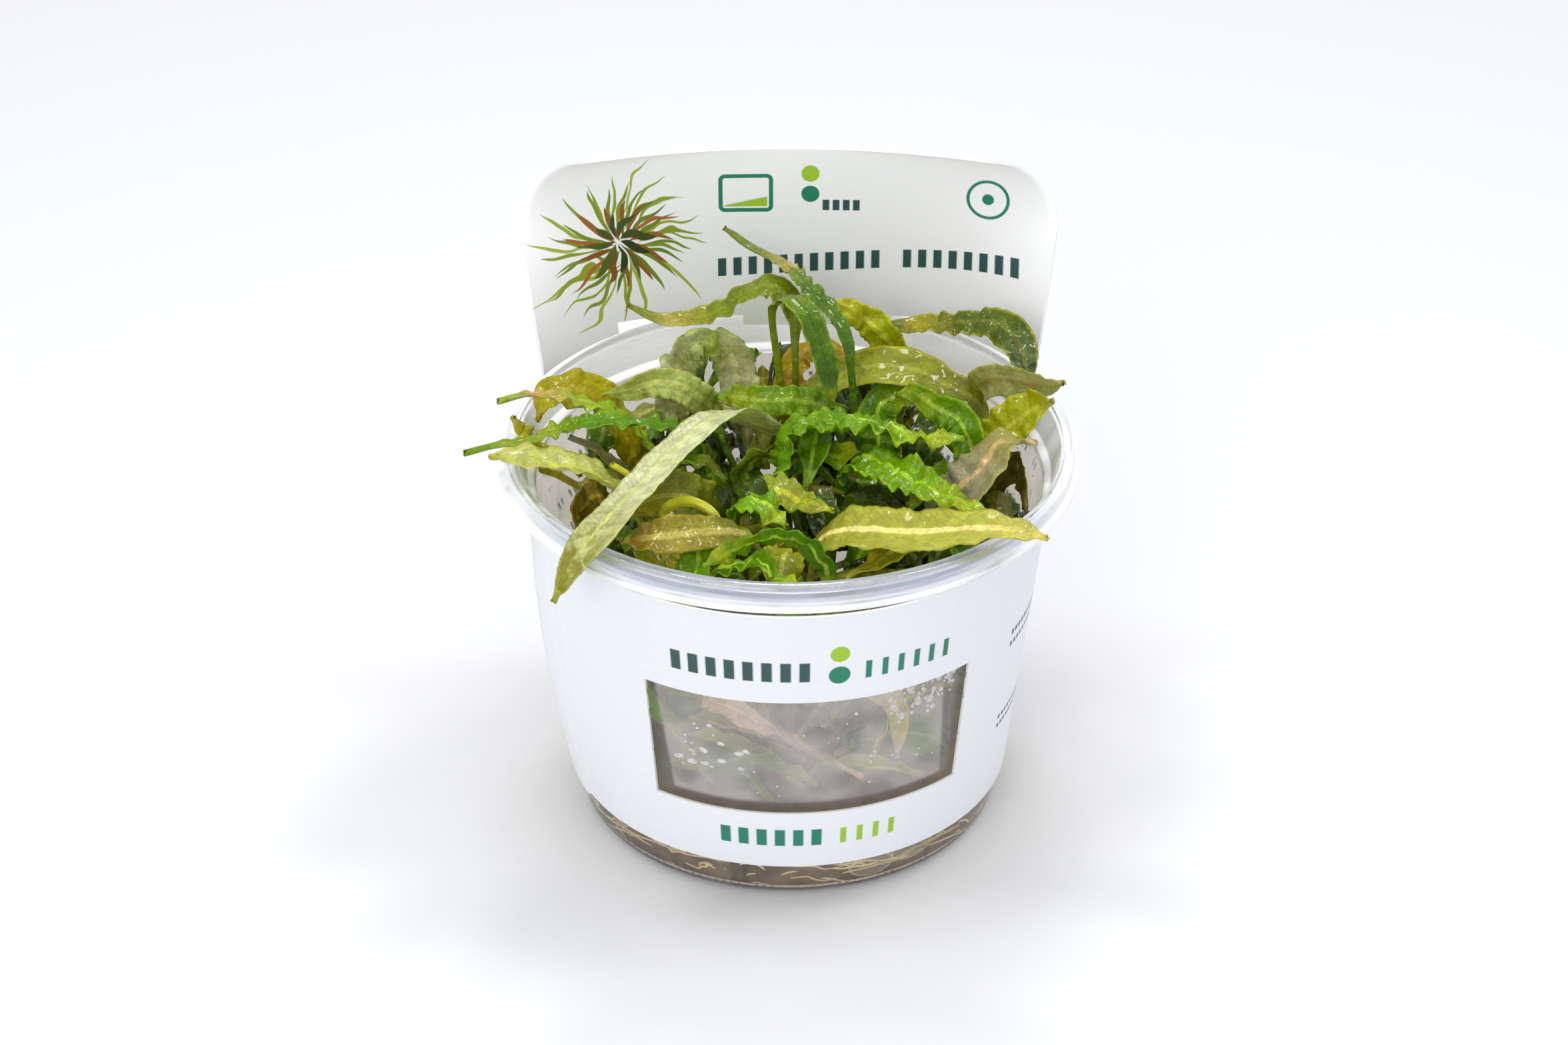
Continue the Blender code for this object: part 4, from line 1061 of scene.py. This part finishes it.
def leafShader(tree, look):
    across, run, share = readPlace(tree, "leafPlace")
    half, luck, blade = readPlace(tree, "leafShape")
    spot = spotOn(tree)
    off = abs(across)
    u = off / half
    blotch = (spot + luck * 37.0).cloud(0.13, 4.0, 0.6, 0.8)
    grain = spot.cloud(1.1, 3.0)
    lumps = spot.cloud(0.5, 2.0, 0.5, 0.6)
    warp = spot.cloud(0.35, 2.0) - 0.5
    long = abs((u * (math.pi * 3.0) + warp * 1.4).maths("SINE")).rise(0.24, 0.02)
    cross = abs(((run + off * 1.3 + warp * 2.6) * (math.pi / 1.7)).maths("SINE")).rise(0.22, 0.02)
    veins = (long * 0.6 + cross * 0.6).maths("MINIMUM", 1.0) * blade
    ribWidth = look["ribWide"] * (grain * 0.5 + 0.75)
    rib = ((ribWidth * 1.35 - off) / (ribWidth * 0.8)).rise(0.0, 1.0) * blade
    rib = rib * share.rise(1.02, 0.8) * (blotch * 0.6 + 0.7).maths("MINIMUM", 1.0)
    tones = {key: rgb(look[key]) for key in ("foot", "blade", "mottle", "rib", "edge", "tip", "glow")}
    stem = tuple(0.6 * a + 0.4 * b for a, b in zip(tones["foot"], tones["rib"]))
    patchy = share + (blotch - 0.5) * 0.3
    color = patchy.rise(0.02, 0.42).blend(tones["foot"], tones["blade"])
    for mask, tone in (
            (patchy.rise(0.62, 0.98), tones["tip"]),
            ((blotch * 0.65 + lumps * 0.35).rise(0.44, 0.62) * 0.75, tones["mottle"]),
            (veins * look["vein"] * blotch.rise(0.25, 0.65), tones["rib"]),
            (u.rise(0.8, 1.0) * blade * 0.7, tones["edge"]),
            (rib * look["ribShow"], tones["rib"]),
            (blade.rise(0.6, 0.1) * 0.8, stem)):
        color = mask.blend(color, tone)
    # each leaf's own tone, then lighter on the lumps that the bump raises and darker between them,
    # painted shade in the crinkles
    color = color * (luck * 0.4 + 1.0) * (lumps.rise(0.3, 0.7) * 0.5 + 0.92)
    deep = grain * 0.2 + lumps * 0.8 + blotch * 0.4 - veins * 0.22
    skin = surface(tree, {
        "Base Color": color, "Roughness": grain * 0.16 + (look["gloss"] - 0.06),
        "Specular IOR Level": 0.1, "Coat Weight": 0.5, "Coat Roughness": 0.04,
        "Normal": deep.bump(0.8, 0.0008)})
    glow = Wire.node(tree, "BsdfTranslucent", None, {"Color": tones["glow"]})
    body = mixed(look["glowShare"], skin, glow)
    if "through" in look:
        clear = Wire.node(tree, "BsdfTransparent", None, {"Color": (0.9, 0.88, 0.8, 1)})
        hole = (1.0 - (rib + veins * 0.3).maths("MINIMUM", 1.0)) * blade * look["through"]
        body = mixed(hole, body, clear)
    return body


leafFinishes = {key: newFinish(f"leaf{key.capitalize()}", leafShader, look)
                for key, look in leafLooks.items()}


def ownOf(node):
    return leafOwn.get(node.removeprefix("leaf_"), {})


def finishOf(node):
    # the look that the solid's material slot names, with the leaf's own colours over it
    slots = {part["node"]: part["material_slot"] for part in frame["record"]["subparts"]}
    look = slots[node].replace("leaf_", "")
    own = {key: value for key, value in ownOf(node).items() if key != "form"}
    if not own:
        return leafFinishes[look]
    return newFinish(f"{node}_skin", leafShader, {**leafLooks[look], **own})


def makeLeaves():
    names = sorted(n for n in frame["nodes"] if n.startswith(("leaf_", "stalk_")))
    total, trees = 0, []
    for number, name in enumerate(names):
        parts = leafFrame(leafRings(frame["nodes"][name]))
        form = ownOf(name).get("form", leafBuild["innerForm"])
        points, faces, values = bladeMesh(parts, *form, 1.37 * number + 0.21)
        total += 2 * len(faces)
        made = addMesh(f"{name}_fine", points, faces, finishOf(name), values)
        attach(made, "root")
        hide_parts(name)
        trees.append(BVHTree.FromPolygons(points.tolist(), faces))
    print("leaves done,", total, "triangles")
    return trees


leafTrees = makeLeaves()


# Small leaves between the plantlets, past what the solids hold

smallLeaves = {
    # how many, distance from the axis, height, bearing, length, width, rise of the tip, roll,
    # form as in leafOwn, how far the ends droop, looks
    "mouth": {"count": 66, "radius": (3, 40), "height": (57, 73), "turn": (0, 360),
              "length": (12, 26), "width": (4.5, 8.0), "rise": (-4, 6), "roll": (-35, 35),
              "form": (1.2, 3.6, 0.25, 1.8), "droop": 1,
              "looks": ("bright", "green", "bright", "green", "olive", "dark")},
    "deep": {"count": 26, "radius": (6, 36), "height": (38, 58), "turn": (0, 360),
             "length": (20, 34), "width": (6, 10), "rise": (-8, 8), "roll": (-50, 50),
             "form": (1.0, 5.0, 0.3, 1.2), "droop": 1,
             "looks": ("dark", "green", "olive", "dark", "brown")},
    "stalks": {"count": 30, "radius": (4, 35), "height": (52, 69), "turn": (0, 360),
               "length": (16, 32), "width": (1.3, 1.8), "rise": (4, 24), "roll": (-20, 20),
               "form": (0.0, 5.0, 0.0, 0.0), "droop": 1,
               "looks": ("olive", "dark", "green", "yellow")},
    "window": {"count": 34, "radius": (20, 33), "height": (22, 48), "turn": (130, 225),
               "length": (14, 30), "width": (5, 9), "rise": (-14, 14), "roll": (50, 100),
               "form": (0.7, 5.0, 0.2, 0.8), "droop": 0.35,
               "looks": ("olive", "brown", "glassy", "green", "glassy", "pale")},
}

smallBuild = {
    "tries": 40, "routeGap": 2.2, "wallGap": 0.3,
    "droops": ((-0.5, 9), (-0.25, 2.5), (0, 0), (0.28, 0.6), (0.5, 3.2)),   # along it, drop
    "stalk": 0.12, "full": 0.6, "opening": 0.35, "fold": 0.12, "steps": 12, "leastHalf": 0.7,
    "rough": {"step": 2.0, "columns": 5}, "fine": {"step": 0.9, "columns": 11},
}


def routeFrame(route, width, roll):
    # the frame of a leaf that runs along a route
    build, steps = smallBuild, smallBuild["steps"]
    line = along(np.array(route, float), np.linspace(0, len(route) - 1, steps))
    tangent = unit(np.gradient(line, axis=0))
    heading = line[-1] - line[0]
    side = np.cross([0, 0, 1], [heading[0], heading[1], 0.001])
    across, over, halves = [], [], []
    for i in range(steps):
        side = side - tangent[i] * side.dot(tangent[i])
        side = side / np.linalg.norm(side)
        up = np.cross(tangent[i], side)
        across.append(side * math.cos(roll) + up * math.sin(roll))
        over.append(up * math.cos(roll) - side * math.sin(roll))
        s = max(i / (steps - 1) - build["stalk"], 0) / (1 - build["stalk"])
        opened = min(s / build["opening"], 1)
        tapered = max(1 - max(s - build["full"], 0) / (1 - build["full"]), 0)
        half = width / 2 * (opened * (2 - opened)) ** 0.8 * tapered ** 0.6
        halves.append(max(build["leastHalf"], half))
    halves = np.array(halves)
    return line, np.array(across), np.array(over), halves, halves * build["fold"]


def smallRoute(luck, plan, window):
    radius, height = luck.uniform(*plan["radius"]), luck.uniform(*plan["height"])
    turn = math.radians(luck.uniform(*plan["turn"]))
    middle = Vector((radius * math.sin(turn), radius * math.cos(turn), height))
    heading = luck.uniform(0, 2 * math.pi)
    if window:
        heading = turn + math.pi / 2 + luck.choice((0, math.pi)) + luck.uniform(-0.4, 0.4)
    way = Vector((math.sin(heading), math.cos(heading), 0))
    size, rise = luck.uniform(*plan["length"]), luck.uniform(*plan["rise"])
    bend = luck.uniform(-0.25, 0.25) * size
    aside = Vector((way.y, -way.x, 0))
    route = []
    for t, drop in smallBuild["droops"]:
        spot = middle + way * size * t + aside * bend * (4 * t * t) + Vector((0, 0, rise * t))
        spot.z -= drop * plan["droop"]
        most = innerRadius(spot.z) - smallBuild["routeGap"]
        far = math.hypot(spot.x, spot.y)
        if far > most:
            spot.x, spot.y = spot.x * most / far, spot.y * most / far
        route.append(spot)
    return route


def makeSmallLeaves(nearby):
    luck = random.Random(21)
    batches = {}
    for group, plan in smallLeaves.items():
        placed, tries = 0, 0
        while placed < plan["count"] and tries < smallBuild["tries"] * plan["count"]:
            tries += 1
            route = smallRoute(luck, plan, group == "window")
            roll = math.radians(luck.uniform(*plan["roll"])) * luck.choice((-1, 1))
            parts = routeFrame(route, luck.uniform(*plan["width"]), roll)
            look, seed = luck.choice(plan["looks"]), luck.uniform(0, 90)
            points, faces, _ = bladeMesh(parts, *plan["form"], seed, **smallBuild["rough"])
            far = np.hypot(points[:, 0], points[:, 1])
            if (far > innerRadius(points[:, 2]) - smallBuild["wallGap"]).any():
                continue
            tree = BVHTree.FromPolygons(points.tolist(), faces)
            if any(tree.overlap(other) for other in nearby):
                continue
            nearby.append(tree)
            placed += 1
            leaf = bladeMesh(parts, *plan["form"], seed, **smallBuild["fine"])
            batches.setdefault((group, look), []).append(leaf)
        print("small leaves,", group, placed, "placed in", tries, "tries")
    for (group, look), leaves in batches.items():
        made = joinMeshes(f"smallLeaves_{group}_{look}", leaves, leafFinishes[look])
        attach(made, "root")


makeSmallLeaves(leafTrees)


# Crowns

crown = {"foot": rgb("beb478"), "top": rgb("969e46"), "spots": rgb("786432"), "turning": (18, 25)}


def crownShader(tree):
    spot = spotOn(tree)
    grain = spot.cloud(0.6, 4.0)
    color = spot.axes()[2].rise(*crown["turning"]).blend(crown["foot"], crown["top"])
    color = grain.rise(0.4, 0.7).blend(color, crown["spots"])
    return surface(tree, {"Base Color": color, "Roughness": 0.4, "Normal": grain.bump(0.5, 0.0005)})


crownSkin = newFinish("crownTissue", crownShader)
for name in crownNames:
    crownNode = frame["nodes"][name]
    crownNode.data.materials.clear()
    crownNode.data.materials.append(crownSkin)
print("crowns done")


# Floor, light and camera

studio = {
    "floorColor": rgb("dfdfe1"), "floorHalf": 4, "world": (0.97, 0.985, 1.0, 1), "worldPower": 0.70,
    "view": "Standard", "lens": 81.55, "place": (-0.00094, -0.5556, 0.3932), "tilt": 58.73,
    # name, place, width and power of each soft lamp, all aimed at one height on the axis
    "aim": 0.05,
    "lights": (
        ("overheadLight", (0.0, -0.25, 1.0), 0.70, 1.2),
        ("frontLight", (-0.3, -0.85, 0.6), 0.50, 2.6),
        ("leftLight", (-0.3, 0.0, 0.95), 0.18, 2.0),
        ("rightLight", (0.38, 0.1, 0.9), 0.18, 1.9),
        ("backLight", (0.0, 0.42, 0.85), 0.18, 1.5),
    ),
}


def makeStudio():
    wide = studio["floorHalf"]
    mesh = bpy.data.meshes.new("floorSheet")
    mesh.from_pydata([(x * wide, y * wide, 0) for x, y in ((-1, -1), (1, -1), (1, 1), (-1, 1))],
                     [], [(0, 1, 2, 3)])
    mesh.materials.append(newFinish("paleFloor", surface, {
        "Base Color": studio["floorColor"], "Roughness": 0.6}))
    floor = addToScene("floorSheet", mesh)
    world = bpy.data.worlds.new("paleRoom")
    world.use_nodes = True
    back = world.node_tree.nodes["Background"]
    back.inputs["Color"].default_value = studio["world"]
    back.inputs["Strength"].default_value = studio["worldPower"]
    bpy.context.scene.world = world
    for name, place, size, power in studio["lights"]:
        light = bpy.data.lights.new(name, "AREA")
        light.shape, light.size, light.energy = "DISK", size, power
        lamp = addToScene(name, light)
        lamp.location = place
        away = Vector((0, 0, studio["aim"])) - Vector(place)
        lamp.rotation_euler = away.to_track_quat("-Z", "Y").to_euler()
    view = bpy.data.cameras.new("photoCamera")
    view.lens, view.sensor_width = studio["lens"], 36
    camera = addToScene("photoCamera", view)
    camera.location = studio["place"]
    camera.rotation_euler = (math.radians(studio["tilt"]), 0, 0)
    bpy.context.scene.camera = camera
    bpy.context.scene.view_settings.view_transform = studio["view"]


makeStudio()
print("studio done")
